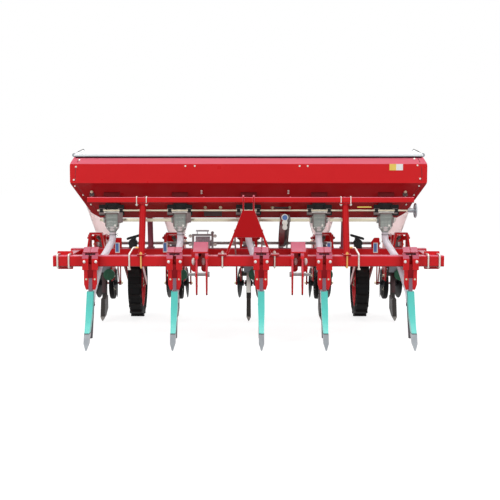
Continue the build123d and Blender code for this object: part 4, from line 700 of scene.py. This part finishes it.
class SEEDDRILL_OT_hopper_fittings(bpy.types.Operator):
    """Bolts, end seams and rim seal of the hopper"""

    bl_idname = "seed_drill.hopper_fittings"
    bl_label = "Hopper fittings"

    def execute(self, context):
        sizes = context.scene.seed_drill_sizes
        low, high = HOPPER
        bolts = Maker()
        for x, z in HOPPER_BOLTS:
            for rear in (False, True):
                bolts.bolt(on_sheet(x, z, rear=rear), sheet_out(z, rear), sizes.bolt_head * 0.45)
        for x, z in BRACKET_BOLTS:
            bolts.bolt(on_sheet(x, z) - Y * 0.005, sheet_out(z), sizes.bolt_head * 0.5)
        bolts.piece("hopper_bolts", "white_zinc", "zinc")
        seams = Maker()
        for s in SIDES:
            for rear in (False, True):
                seams.sweep([on_sheet(s * x, z, rear=rear) for x, z in END_SEAM], 0.0022, sides=6)
        seams.piece("hopper_seams", "dark_red_paint", "dark_red_paint")
        seal = Maker()
        rim_x, rim_front, rim_back = 1.296, low.y + 0.034, high.y - 0.034
        half = 0.004
        top = high.z + sizes.seal
        for y in (rim_front, rim_back):
            seal.block((-rim_x, y - half, high.z), (rim_x, y + half, top))
        for x in (-rim_x, rim_x):
            seal.block((x - half, rim_front, high.z), (x + half, rim_back, top))
        lip_x, lip_drop, lip_half = 1.290, 0.006, 0.002
        for y in (low.y + 0.0245, high.y - 0.0245):
            seal.block((-lip_x, y - lip_half, high.z - lip_drop), (lip_x, y + lip_half, top))
        seal.piece("rim_seal", "seal_rubber", "tyre_rubber")
        return {"FINISHED"}


class SEEDDRILL_OT_hopper_plates(bpy.types.Operator):
    """Blank plates on the hopper's face, and under it dark plates and plates of painted shade over the
    meters' throats
    """

    bl_idname = "seed_drill.hopper_plates"
    bl_label = "Hopper plates"

    def execute(self, context):
        head = context.scene.seed_drill_sizes.bolt_head
        face = HOPPER[0].y
        thick = 0.0012
        for name, start, end, finish in (
                ("plate_left_half", 1.048, 1.098, "yellow_plate"),
                ("plate_right_half", 1.098, 1.148, "white_plastic")):
            plate = Maker()
            plate.block((start, face - thick, 1.256), (end, face, SHOULDER))
            plate.piece(name, finish)
        lean = tilt(SLOPE, 1.0)
        dark_half = 0.0025
        shade_height, shade_half = 1.092, 0.0006
        plates, throat_shades, bolts = Maker(), Maker(), Maker()
        for x, z, wide, tall in DARK_PLATES:
            plates.slab(on_sheet(x, z, dark_half), (wide / 2, dark_half, tall / 2),
                        bevel=SOFT_EDGE, turn=lean)
        plates.piece("dark_plates", "primer", "black_plastic")
        # near-black plates over each meter's throat, painted shade
        for x in METER_X:
            throat_shades.slab(on_sheet(x, shade_height, shade_half), (0.060, shade_half, 0.032), turn=lean)
        throat_shades.piece("throat_shade_plates", "flange_paint", "dark_red_paint")
        for x, z, wide, tall in DARK_PLATES:
            reach = wide / 2 - 0.010
            for across in (-reach, reach) if wide > SMALL_PLATE else (0.0,):
                for t in SIDES if tall < SMALL_PLATE else (1,):
                    height = z + t * (tall / 2 - 0.010)
                    bolts.bolt(on_sheet(x + across, height, dark_half * 2), sheet_out(height), head * 0.8)
        bolts.piece("dark_plate_bolts", "zinc", "zinc")
        return {"FINISHED"}


class SEEDDRILL_OT_lid_latches(bpy.types.Operator):
    """Bent wire handles, their clips and their bosses at both ends of the lid"""

    bl_idname = "seed_drill.lid_latches"
    bl_label = "Lid latches"

    def execute(self, context):
        latches, bosses = Maker(), Maker()
        low, high = LID
        skirt = low.z + 0.014
        for s in SIDES:
            for y in (low.y + 0.060, (low.y + high.y) / 2):
                # out from the lid's end, and height
                wire = ((0.003, low.z + 0.004), (0.005, skirt), (-0.004, skirt + 0.016),
                        (-0.030, skirt + 0.034), (-0.062, high.z - 0.004), (-0.075, high.z - 0.014))
                latches.sweep([(s * (high.x + out), y, z) for out, z in wire], 0.0030, sides=8)
                boss = Vector((s * (high.x + 0.006), y, low.z + 0.018))
                bosses.frustum(boss - Y * 0.016, boss + Y * 0.016, 0.0150, sides=20)
                latches.block((s * high.x - 0.004, y - 0.012, low.z + 0.001),
                              (s * high.x + 0.004, y + 0.012, skirt - 0.001), bevel=SOFT_EDGE)
        latches.piece("lid_latches", "chain_steel", "chain_steel", body="lid")
        bosses.piece("latch_bosses", "bright_steel", "bright_steel", body="lid")
        return {"FINISHED"}


class SEEDDRILL_OT_carrier_fittings(bpy.types.Operator):
    """Thin hoops round the carrier at the post heads, and a pointer bar"""

    bl_idname = "seed_drill.carrier_fittings"
    bl_label = "Carrier fittings"

    def execute(self, context):
        low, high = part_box("hopper_beam")
        centre = low.y + 0.020
        front, rear = centre - 0.0245, centre + 0.0245
        foot, corner, top = low.z - 0.024, high.z - 0.004, high.z + 0.0045
        hoops = Maker()
        for post in HOOP_X:
            for s in SIDES:
                x = post + s * 0.036
                hoops.sweep([(x, front, foot), (x, front, corner), (x, front + 0.006, top),
                             (x, rear - 0.006, top), (x, rear, corner), (x, rear, foot)], 0.0034, sides=10)
                for y in (front, rear):
                    hoops.frustum((x, y, low.z - 0.018), (x, y, low.z - 0.010), 0.0085, sides=6)
        hoops.piece("carrier_hoops", "white_zinc", "zinc")
        bar = Maker()
        bar.block((0.800, centre - 0.034, low.z - 0.036), (0.905, centre - 0.030, low.z - 0.028),
                  bevel=SOFT_EDGE)
        bar.piece("pointer_bar", "yellow_plate")
        return {"FINISHED"}


class SEEDDRILL_OT_meter_fittings(bpy.types.Operator):
    """Screws, ribs, frames, ears, shaft tubes and outlet rings of the fertiliser meters"""

    bl_idname = "seed_drill.meter_fittings"
    bl_label = "Meter fittings"

    RIB_HEIGHTS = (0.838, 0.850, 0.862, 0.874, 0.905)
    SHAFT_HEIGHT = 0.882
    GATE_HEIGHT = 0.944
    EAR_TOP = 0.972

    def execute(self, context):
        head = context.scene.seed_drill_sizes.bolt_head
        self.screws(head)
        self.ribs_and_frames()
        self.ears()
        self.shaft_tubes()
        self.outlets()
        return {"FINISHED"}

    def screws(self, head):
        """A gate rod and screws on each meter's face, and a nut on each end of its shaft."""
        bright = Maker()
        for x in METER_X:
            bright.frustum((x - 0.056, METER_FACE + 0.002, self.GATE_HEIGHT),
                           (x + 0.056, METER_FACE + 0.002, self.GATE_HEIGHT), 0.0042, sides=12)
            for across, height in ((-0.052, self.GATE_HEIGHT), (0.052, self.GATE_HEIGHT), (0.0, 0.952)):
                bright.bolt((x + across, METER_FACE - 0.001, height), -Y, head * 0.75)
            bright.bolt((x + 0.024, METER_FACE + 0.001, 0.842), -Y, head * 0.55)
            for s in SIDES:
                bright.bolt((x + s * 0.064, METER_Y, self.SHAFT_HEIGHT), X * s, head * 1.4)
        bright.piece("meter_screws", "white_zinc", "zinc")

    def ribs_and_frames(self):
        """Cross ribs on the clear housings, with a steel frame above and beside them."""
        ribs, frames = Maker(), Maker()
        face = METER_FACE
        for x in METER_X:
            for z in self.RIB_HEIGHTS:
                ribs.block((x - 0.040, face + 0.0005, z - 0.002), (x + 0.040, face + 0.010, z + 0.002),
                           bevel=0.0008)
            frames.block((x - 0.052, face - 0.0005, 0.928), (x + 0.052, face + 0.006, 0.937),
                         bevel=SOFT_EDGE)
            for s in SIDES:
                frames.slab((x + s * 0.047, face + 0.007, 0.884), (0.0035, 0.005, 0.048), bevel=SOFT_EDGE)
        frames.piece("meter_frames", "ear_steel", "black_plastic")
        ribs.piece("meter_ribs", "pale_plastic", "meter_plastic")

    def ears(self):
        """Thin plates beside each meter's head, longer on the right of the two left meters."""
        ears = Maker()
        front, back = METER_FACE - 0.0095, METER_FACE - 0.0075
        for x in METER_X:
            foot = 0.866 if x < -0.3 else 0.930
            ears.block((x - 0.094, front, 0.926), (x - 0.050, back, self.EAR_TOP), bevel=SOFT_EDGE)
            ears.block((x + 0.050, front, foot), (x + 0.084, back, self.EAR_TOP), bevel=SOFT_EDGE)
        ears.piece("meter_ears", "ear_steel")

    def shaft_tubes(self):
        """Square sleeves over the metering shaft, from its left end and between the meters."""
        shafts = Maker()
        half = 0.0115
        starts = (-1.104, *(x + 0.080 for x in METER_X))
        for start, end in zip(starts, METER_X):
            shafts.block((start, METER_Y - half, self.SHAFT_HEIGHT - half),
                         (end - 0.066, METER_Y + half, self.SHAFT_HEIGHT + half), bevel=SOFT_EDGE)
        shafts.piece("shaft_tubes", "zinc", "zinc")

    def outlets(self):
        """A skirt and a ring round each outlet, with two cap nuts in front."""
        rings = Maker()
        for x in METER_X:
            rings.frustum((x, METER_Y, 0.834), (x, METER_Y, 0.806), 0.0475, 0.0330, sides=24)
            rings.ring((x, METER_Y, 0.8035), 0.0285, 0.0034, 28, X, Y, sides=8)
            for s in SIDES:
                rings.cap_nut((x + s * 0.036, METER_FACE + 0.008, 0.826), -Y, 0.011)
        rings.piece("outlet_rings", "white_plastic")


class SEEDDRILL_OT_tube_bands(bpy.types.Operator):
    """Soft wall of the drop tubes, with wire bands and clips at their tops"""

    bl_idname = "seed_drill.tube_bands"
    bl_label = "Tube bands"

    def execute(self, context):
        wall = frame["nodes"]["fertiliser_tubes"].modifiers.new("wall", "DISPLACE")
        wall.strength, wall.mid_level = TUBE_WALL, 0.0
        bands = Maker()
        reach = 0.0222 + TUBE_WALL
        height, wire = 0.773, 0.0014
        for x in METER_X:
            for s in (1, -1):
                bands.ring((x, METER_Y, height + s * 0.003), reach, wire, 24, X, Y)
            for s in SIDES:
                bands.sweep([(x + reach - 0.002, METER_Y - 0.008, height),
                             (x + reach + 0.008, METER_Y - 0.014, height + s * 0.004),
                             (x + reach + 0.015, METER_Y - 0.016, height + s * 0.009)], wire, sides=6)
        bands.piece("tube_bands", "chain_steel", "chain_steel")
        return {"FINISHED"}


class SEEDDRILL_OT_row_springs(bpy.types.Operator):
    """Coiled springs with round eyes between the links of each row"""

    bl_idname = "seed_drill.row_springs"
    bl_label = "Row springs"

    def execute(self, context):
        sizes = context.scene.seed_drill_sizes
        low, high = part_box("row_springs")
        start = Vector((0, low.y + 0.016, high.z - 0.018))
        end = Vector((0, high.y - 0.016, low.z + 0.018))
        along = (end - start).normalized()
        other = along.cross(X)
        coil = 0.0125
        turns = sizes.spring_turns
        steps = turns * 12
        thick = sizes.spring_wire / 2
        wire = Maker()
        for row in ROW_X:
            points = []
            for k in range(steps + 1):
                angle = 2 * pi * turns * k / steps
                centre = start.lerp(end, 0.08 + 0.84 * k / steps) + X * row
                points.append(centre + X * coil * cos(angle) + other * coil * sin(angle))
            wire.sweep(points, thick, sides=6)
            for tip, inward in ((start, 1), (end, -1)):
                wire.ring(tip + X * row + along * inward * 0.010, 0.009, thick, 16, along, other)
        made = wire.piece("spring_coils", "chain_steel", "chain_steel")
        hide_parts("row_springs")
        return {"FINISHED"}


class SEEDDRILL_OT_row_fasteners(bpy.types.Operator):
    """Nuts on the row units' side plates and arms, and the seed meters' ribbed green covers"""

    bl_idname = "seed_drill.row_fasteners"
    bl_label = "Row fasteners"

    COVER_RADIUS = 0.0455
    COVER_RIBS = (-0.034, -0.022, -0.010, 0.002, 0.014, 0.026, 0.038)

    def execute(self, context):
        head = context.scene.seed_drill_sizes.bolt_head
        nuts = Maker()
        for row in ROW_X:
            for s in SIDES:
                plate = row + s * 0.070
                for seat in round_places((plate, *METER_CENTRE), 0.058, 6, start=pi / 6):
                    nuts.bolt(seat, X * s, head * 0.7)
                nuts.bolt((plate, *METER_CENTRE), X * s, head * 1.5)
                for y, z in ((1.062, 0.372), (1.222, 0.452), (0.985, 0.640), (1.150, 0.650)):
                    nuts.bolt((plate, FRONT + y, z), X * s, head)
                nuts.bolt((row + s * 0.060, *PRESS_AXLE), X * s, head * 1.2)
                out = Vector((s * cos(DISC_TOE), sin(DISC_TOE), 0))
                nuts.bolt(Vector((row + s * DISC_OUT, *DISC_AXLE)) + out * 0.046, out, head * 1.3)
        nuts.piece("row_nuts", "zinc", "zinc")
        covers = Maker()
        for row in ROW_X:
            hub = Vector((row + 0.048, FRONT, 0.390))
            covers.frustum(hub + Y * 0.984, hub + Y * 0.9548, 0.0470, 0.0462, sides=40)
            for across in self.COVER_RIBS:
                tall = sqrt(self.COVER_RADIUS ** 2 - across ** 2)
                foot = hub + Vector((across, 0.9540, 0))
                covers.frustum(foot - Z * tall, foot + Z * tall, 0.0026, sides=8)
        covers.piece("seed_covers", "green_plastic", "green_plastic")
        return {"FINISHED"}


class SEEDDRILL_OT_opener_strips(bpy.types.Operator):
    """Guide strips on the openers' legs, pale on the middle row and darkened as painted shade on the
    others, with collars and sleeve rings
    """

    bl_idname = "seed_drill.opener_strips"
    bl_label = "Opener strips"

    def execute(self, context):
        pale, shaded, collars, rings = Maker(), Maker(), Maker(), Maker()
        lean = tilt(0.036, 0.224)
        for row in ROW_X:
            # the strips of the outer rows are darkened as painted shade
            strips = shaded if abs(row) > 0.5 else pale
            strips.slab((row, FRONT + 1.008, 0.319), (0.0165, 0.006, 0.084), bevel=0.0015, turn=lean)
            collars.slab((row, FRONT + 0.999, 0.230), (0.020, 0.012, 0.006), bevel=0.002, turn=lean)
        for x in OPENER_X:
            rings.block((x - 0.0185, FRONT - 0.2570, 0.1095), (x + 0.0185, FRONT - 0.1825, 0.1150),
                        bevel=SOFT_EDGE)
        rings.piece("sleeve_rings", "dark_steel", "dark_steel")
        pale.piece("opener_strips", "white_zinc", "galvanised")
        shaded.piece("opener_strips_dark", "primer", "dark_steel")
        collars.piece("opener_collars", "dark_steel", "dark_steel")
        return {"FINISHED"}


class SEEDDRILL_OT_seed_box_trim(bpy.types.Operator):
    """Moulded ribs round the seed boxes and a catch in front of each lid"""

    bl_idname = "seed_drill.seed_box_trim"
    bl_label = "Seed box trim"

    RIB_HEIGHTS = (0.970, 1.034)
    RIB_REACH = 0.1362                     # from a box's middle to its ribs

    def execute(self, context):
        centre = METER_CENTRE[0]
        reach = self.RIB_REACH
        ribs = Maker()
        for row in ROW_X:
            for z in self.RIB_HEIGHTS:
                corners = [(row + s * reach, centre + t * reach, z) for s, t in SQUARE]
                for start, end in zip(corners, corners[1:] + corners[:1]):
                    ribs.frustum(start, end, 0.0022, sides=8)
        ribs.piece("seed_box_ribs", "seed_box_plastic", "seed_box_plastic")
        for n, row in zip(ROWS, ROW_X):
            low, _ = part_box(f"seed_box_lid_{n}")
            catch = Maker()
            catch.block((row - 0.020, low.y - 0.004, low.z + 0.001),
                        (row + 0.020, low.y + 0.002, low.z + 0.014), bevel=SOFT_EDGE)
            catch.piece(f"seed_lid_catch_{n}", "seed_box_plastic", "seed_box_plastic", body=f"seed_lid_{n}")
        return {"FINISHED"}


class SEEDDRILL_OT_wheel_trim(bpy.types.Operator):
    """Hub bolts and tyre rings of the ground wheels, and beads and bolts of the press wheels"""

    bl_idname = "seed_drill.wheel_trim"
    bl_label = "Wheel trim"

    # how far out from the wheel's middle, and the circle they are on
    HUB_BOLTS = (0.048, 0.026)
    WEB_BOLTS = (0.0055, 0.062)
    BEADS = (0.0165, 0.1360)
    TYRE_RINGS = ((0.0552, 0.236), (0.0552, 0.252))

    def execute(self, context):
        head = context.scene.seed_drill_sizes.bolt_head
        for side in ("left", "right"):
            centre = middle_of(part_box(f"ground_rim_{side}"))
            body = f"ground_wheel_{side}"
            hub, rings = Maker(), Maker()
            out, radius = self.HUB_BOLTS
            for s in SIDES:
                for seat in round_places(centre + X * s * out, radius, 6):
                    hub.bolt(seat, X * s, head * 0.6)
                for ring_out, ring_radius in self.TYRE_RINGS:
                    rings.ring(centre + X * s * ring_out, ring_radius, 0.0018, 72)
            hub.piece(f"hub_bolts_{side}", "zinc", "zinc", body)
            rings.piece(f"tyre_rings_{side}", "tyre_rubber", "tyre_rubber", body)
        for n in ROWS:
            body = f"press_wheel_{n}"
            centre = middle_of(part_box(f"press_wheel_{n}"))
            beads, web = Maker(), Maker()
            out, radius = self.WEB_BOLTS
            bead_out, bead_radius = self.BEADS
            for s in SIDES:
                beads.ring(centre + X * s * bead_out, bead_radius, 0.0020, 64)
                for seat in round_places(centre + X * s * out, radius, 5):
                    web.bolt(seat, X * s, head * 0.7)
            beads.piece(f"press_wheel_beads_{n}", "tyre_rubber", "tyre_rubber", body)
            web.piece(f"press_wheel_bolts_{n}", "zinc", "zinc", body)
        return {"FINISHED"}


class SEEDDRILL_OT_drive_fittings(bpy.types.Operator):
    """Bearing hub, plate beside the chain, bar over the gear case, bolts and set screws"""

    bl_idname = "seed_drill.drive_fittings"
    bl_label = "Drive fittings"

    def execute(self, context):
        head = context.scene.seed_drill_sizes.bolt_head
        chain_low, chain_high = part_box("drive_chain")
        chain = middle_of((chain_low, chain_high))
        hub, mount, shield, bar, bolts = (Maker() for _ in range(5))
        place = Vector((chain.x - 0.032, chain_low.y - 0.010, chain_high.z - 0.020))
        hub.frustum(place, place - Y * 0.010, 0.020, 0.018, sides=28)
        hub.piece("bearing_hub", "blue_plate")
        mount.frustum(place + Y * 0.012, place, 0.026, sides=28)
        mount.block(place - X * 0.008 - Z * 0.070, place + X * 0.008 + Y * 0.006, bevel=SOFT_EDGE)
        for drop, wide in ((0.038, 0.022), (0.056, 0.016), (0.074, 0.020)):
            mount.bolt(place - Z * drop, -Y, wide)
        mount.piece("hub_mount", "white_zinc")
        shield.slab(chain - X * 0.020, (0.0085, 0.225, 0.034), bevel=SOFT_EDGE, turn=tilt(0.211, 0.414))
        shield.piece("chain_shield", "primer", "black_plastic")
        low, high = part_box("gear_case")
        bar.block((low.x + 0.010, REAR + 0.010, high.z + 0.040),
                  (high.x - 0.014, REAR + 0.030, high.z + 0.052), bevel=0.002)
        for x in (low.x + 0.020, high.x - 0.024):
            foot = Vector((x, REAR + 0.020, high.z + 0.018))
            bar.frustum(foot, foot + Z * 0.026, 0.003, sides=10)
        bar.piece("gear_case_bar", "galvanised", "galvanised")
        for x in (low.x - 0.034, high.x + 0.034):
            for z in (low.z + 0.030, high.z + 0.006):
                bolts.bolt((x, REAR + 0.008, z), -Y, head * 0.9)
        low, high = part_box("drive_shaft")
        for s in SIDES:
            bolts.bolt((s * 0.130, low.y + 0.001, middle_of((low, high)).z), -Y, head * 0.8)
        bolts.piece("drive_bolts", "white_zinc", "zinc")
        return {"FINISHED"}


class SEEDDRILL_OT_row_tags(bpy.types.Operator):
    """Blank blue and white plates in front of the rear beam"""

    bl_idname = "seed_drill.row_tags"
    bl_label = "Row tags"

    def execute(self, context):
        tags, edges = Maker(), Maker()
        front, face = REAR - 0.0025, REAR - 0.0015
        for x, down, up in TAGS:
            foot, top = BEAM_TOP - down, BEAM_TOP + up
            edges.block((x - 0.018, face, foot), (x + 0.018, REAR, top))
            tags.block((x - 0.014, front, foot + 0.008), (x + 0.009, face, top - 0.006))
        tags.piece("row_tags_blue", "blue_plate")
        edges.piece("row_tags_white", "white_plastic")
        return {"FINISHED"}


FLOOR_REACH = 30.0
FLOOR_GREY = (0.30, 0.30, 0.30, 1)
FLOOR_GLOW = 0.84                          # what the floor shows the camera of its own
WHITE = (1, 1, 1, 1)
SOFT_SKY, BRIGHT_SKY = 0.55, 1.0           # the surround as a light, and as it is seen
AIM = (0, 0, 0.7)                          # where the lamps point
# name, place, width and depth, and watts
LAMPS = (
    ("overhead", (0.0, -0.6, 6.0), (7.0, 5.0), 330.0),
    ("front_left", (-5.5, -7.0, 4.2), (3.0, 3.0), 160.0),
    ("front_right", (5.5, -7.0, 4.2), (3.0, 3.0), 130.0))
CAMERA_PLACE = (0.0108, FRONT - 7.11, 1.34)
CAMERA_DOWN = radians(5.28)
CAMERA_LENS = 70.92                        # millimetres, on a sensor 36 mm wide


def seen_rays(tree):
    """One for rays from the camera and through gloss and glass, and nought for light."""
    rays = node(tree, "ShaderNodeLightPath").outputs
    beyond = math_node(tree, "MAXIMUM", rays["Is Glossy Ray"], rays["Is Transmission Ray"])
    return math_node(tree, "MAXIMUM", rays["Is Camera Ray"], beyond)


class SEEDDRILL_OT_stage(bpy.types.Operator):
    """Pale floor, soft lamps, white surround and the camera"""

    bl_idname = "seed_drill.stage"
    bl_label = "Stage"

    def execute(self, context):
        scene = context.scene
        scene.view_settings.view_transform = "Standard"
        self.floor(scene)
        self.surround(scene)
        for lamp in LAMPS:
            self.lamp(scene, *lamp)
        self.camera(scene)
        return {"FINISHED"}

    def floor(self, scene):
        """A plain square under the machine."""
        mesh = bpy.data.meshes.new("floor")
        corners = [(s * FLOOR_REACH, t * FLOOR_REACH, 0) for s, t in SQUARE]
        mesh.from_pydata(corners, [], [(0, 1, 2, 3)])
        mesh.materials.append(self.floor_material())
        floor = bpy.data.objects.new("floor", mesh)
        scene.collection.objects.link(floor)

    def floor_material(self):
        """Pale matte floor that keeps the shadow under the machine."""
        made = bpy.data.materials.new("floor")
        made.use_nodes = True
        tree = made.node_tree
        shader = tree.nodes["Principled BSDF"]
        for label, value in (("Base Color", FLOOR_GREY), ("Roughness", 0.9), ("Specular IOR Level", 0.0),
                             ("Emission Color", WHITE)):
            shader.inputs[label].default_value = value
        glow = math_node(tree, "MULTIPLY", seen_rays(tree), FLOOR_GLOW)
        tree.links.new(glow, shader.inputs["Emission Strength"])
        return made

    def surround(self, scene):
        """White to the camera and to gloss and glass, softer as a light."""
        world = bpy.data.worlds.new("surround")
        scene.world = world
        world.use_nodes = True
        tree = world.node_tree
        tree.nodes.clear()
        seen = seen_rays(tree)
        skies = []
        for strength in (SOFT_SKY, BRIGHT_SKY):
            sky = node(tree, "ShaderNodeBackground")
            sky.inputs["Color"].default_value = WHITE
            sky.inputs["Strength"].default_value = strength
            skies.append(sky.outputs[0])
        mix = node(tree, "ShaderNodeMixShader")
        out = node(tree, "ShaderNodeOutputWorld")
        for socket, source in zip(mix.inputs, (seen, *skies)):
            tree.links.new(source, socket)
        tree.links.new(mix.outputs[0], out.inputs[0])

    def lamp(self, scene, name, place, size, power):
        """A soft rectangular lamp that points at the machine."""
        lamp = bpy.data.lights.new(name, "AREA")
        lamp.shape = "RECTANGLE"
        lamp.size, lamp.size_y = size
        lamp.energy = power
        holder = bpy.data.objects.new(name, lamp)
        holder.location = place
        holder.rotation_euler = (Vector(AIM) - Vector(place)).to_track_quat("-Z", "Y").to_euler()
        scene.collection.objects.link(holder)

    def camera(self, scene):
        """Straight on from the tractor side at eye height, tipped a little down."""
        data = bpy.data.cameras.new("camera")
        data.sensor_width = 36.0
        data.lens = CAMERA_LENS
        holder = bpy.data.objects.new("camera", data)
        holder.location = CAMERA_PLACE
        holder.rotation_euler = (pi / 2 - CAMERA_DOWN, 0, 0)
        scene.collection.objects.link(holder)
        scene.camera = holder


class SEEDDRILL_PT_panel(bpy.types.Panel):
    """The drill's operators and settings in the sidebar"""

    bl_idname = "SEEDDRILL_PT_panel"
    bl_label = "Seed Drill"
    bl_space_type = "VIEW_3D"
    bl_region_type = "UI"
    bl_category = "Seed Drill"

    def draw(self, context):
        for operator in OPERATORS:
            self.layout.operator(operator.bl_idname)
        for group in (context.scene.seed_drill_finish, context.scene.seed_drill_sizes):
            for name in group.__annotations__:
                self.layout.prop(group, name)


OPERATORS = (
    SEEDDRILL_OT_finishes,
    SEEDDRILL_OT_clamp_fasteners,
    SEEDDRILL_OT_hopper_fittings,
    SEEDDRILL_OT_hopper_plates,
    SEEDDRILL_OT_lid_latches,
    SEEDDRILL_OT_carrier_fittings,
    SEEDDRILL_OT_meter_fittings,
    SEEDDRILL_OT_tube_bands,
    SEEDDRILL_OT_row_springs,
    SEEDDRILL_OT_row_fasteners,
    SEEDDRILL_OT_opener_strips,
    SEEDDRILL_OT_seed_box_trim,
    SEEDDRILL_OT_wheel_trim,
    SEEDDRILL_OT_drive_fittings,
    SEEDDRILL_OT_row_tags,
    SEEDDRILL_OT_stage,
)
CLASSES = (SeedDrillFinish, SeedDrillSizes, *OPERATORS, SEEDDRILL_PT_panel)


def register():
    """Register the classes and hang the settings on the scene."""
    for cls in CLASSES:
        bpy.utils.register_class(cls)
    bpy.types.Scene.seed_drill_finish = PointerProperty(type=SeedDrillFinish)
    bpy.types.Scene.seed_drill_sizes = PointerProperty(type=SeedDrillSizes)


def unregister():
    """Take the settings and the classes away again."""
    del bpy.types.Scene.seed_drill_sizes
    del bpy.types.Scene.seed_drill_finish
    for cls in reversed(CLASSES):
        bpy.utils.unregister_class(cls)


def main():
    """Dress the drill."""
    register()
    for cls in OPERATORS:
        getattr(bpy.ops.seed_drill, cls.bl_idname.split(".")[1])()


if __name__ == "__main__":
    main()
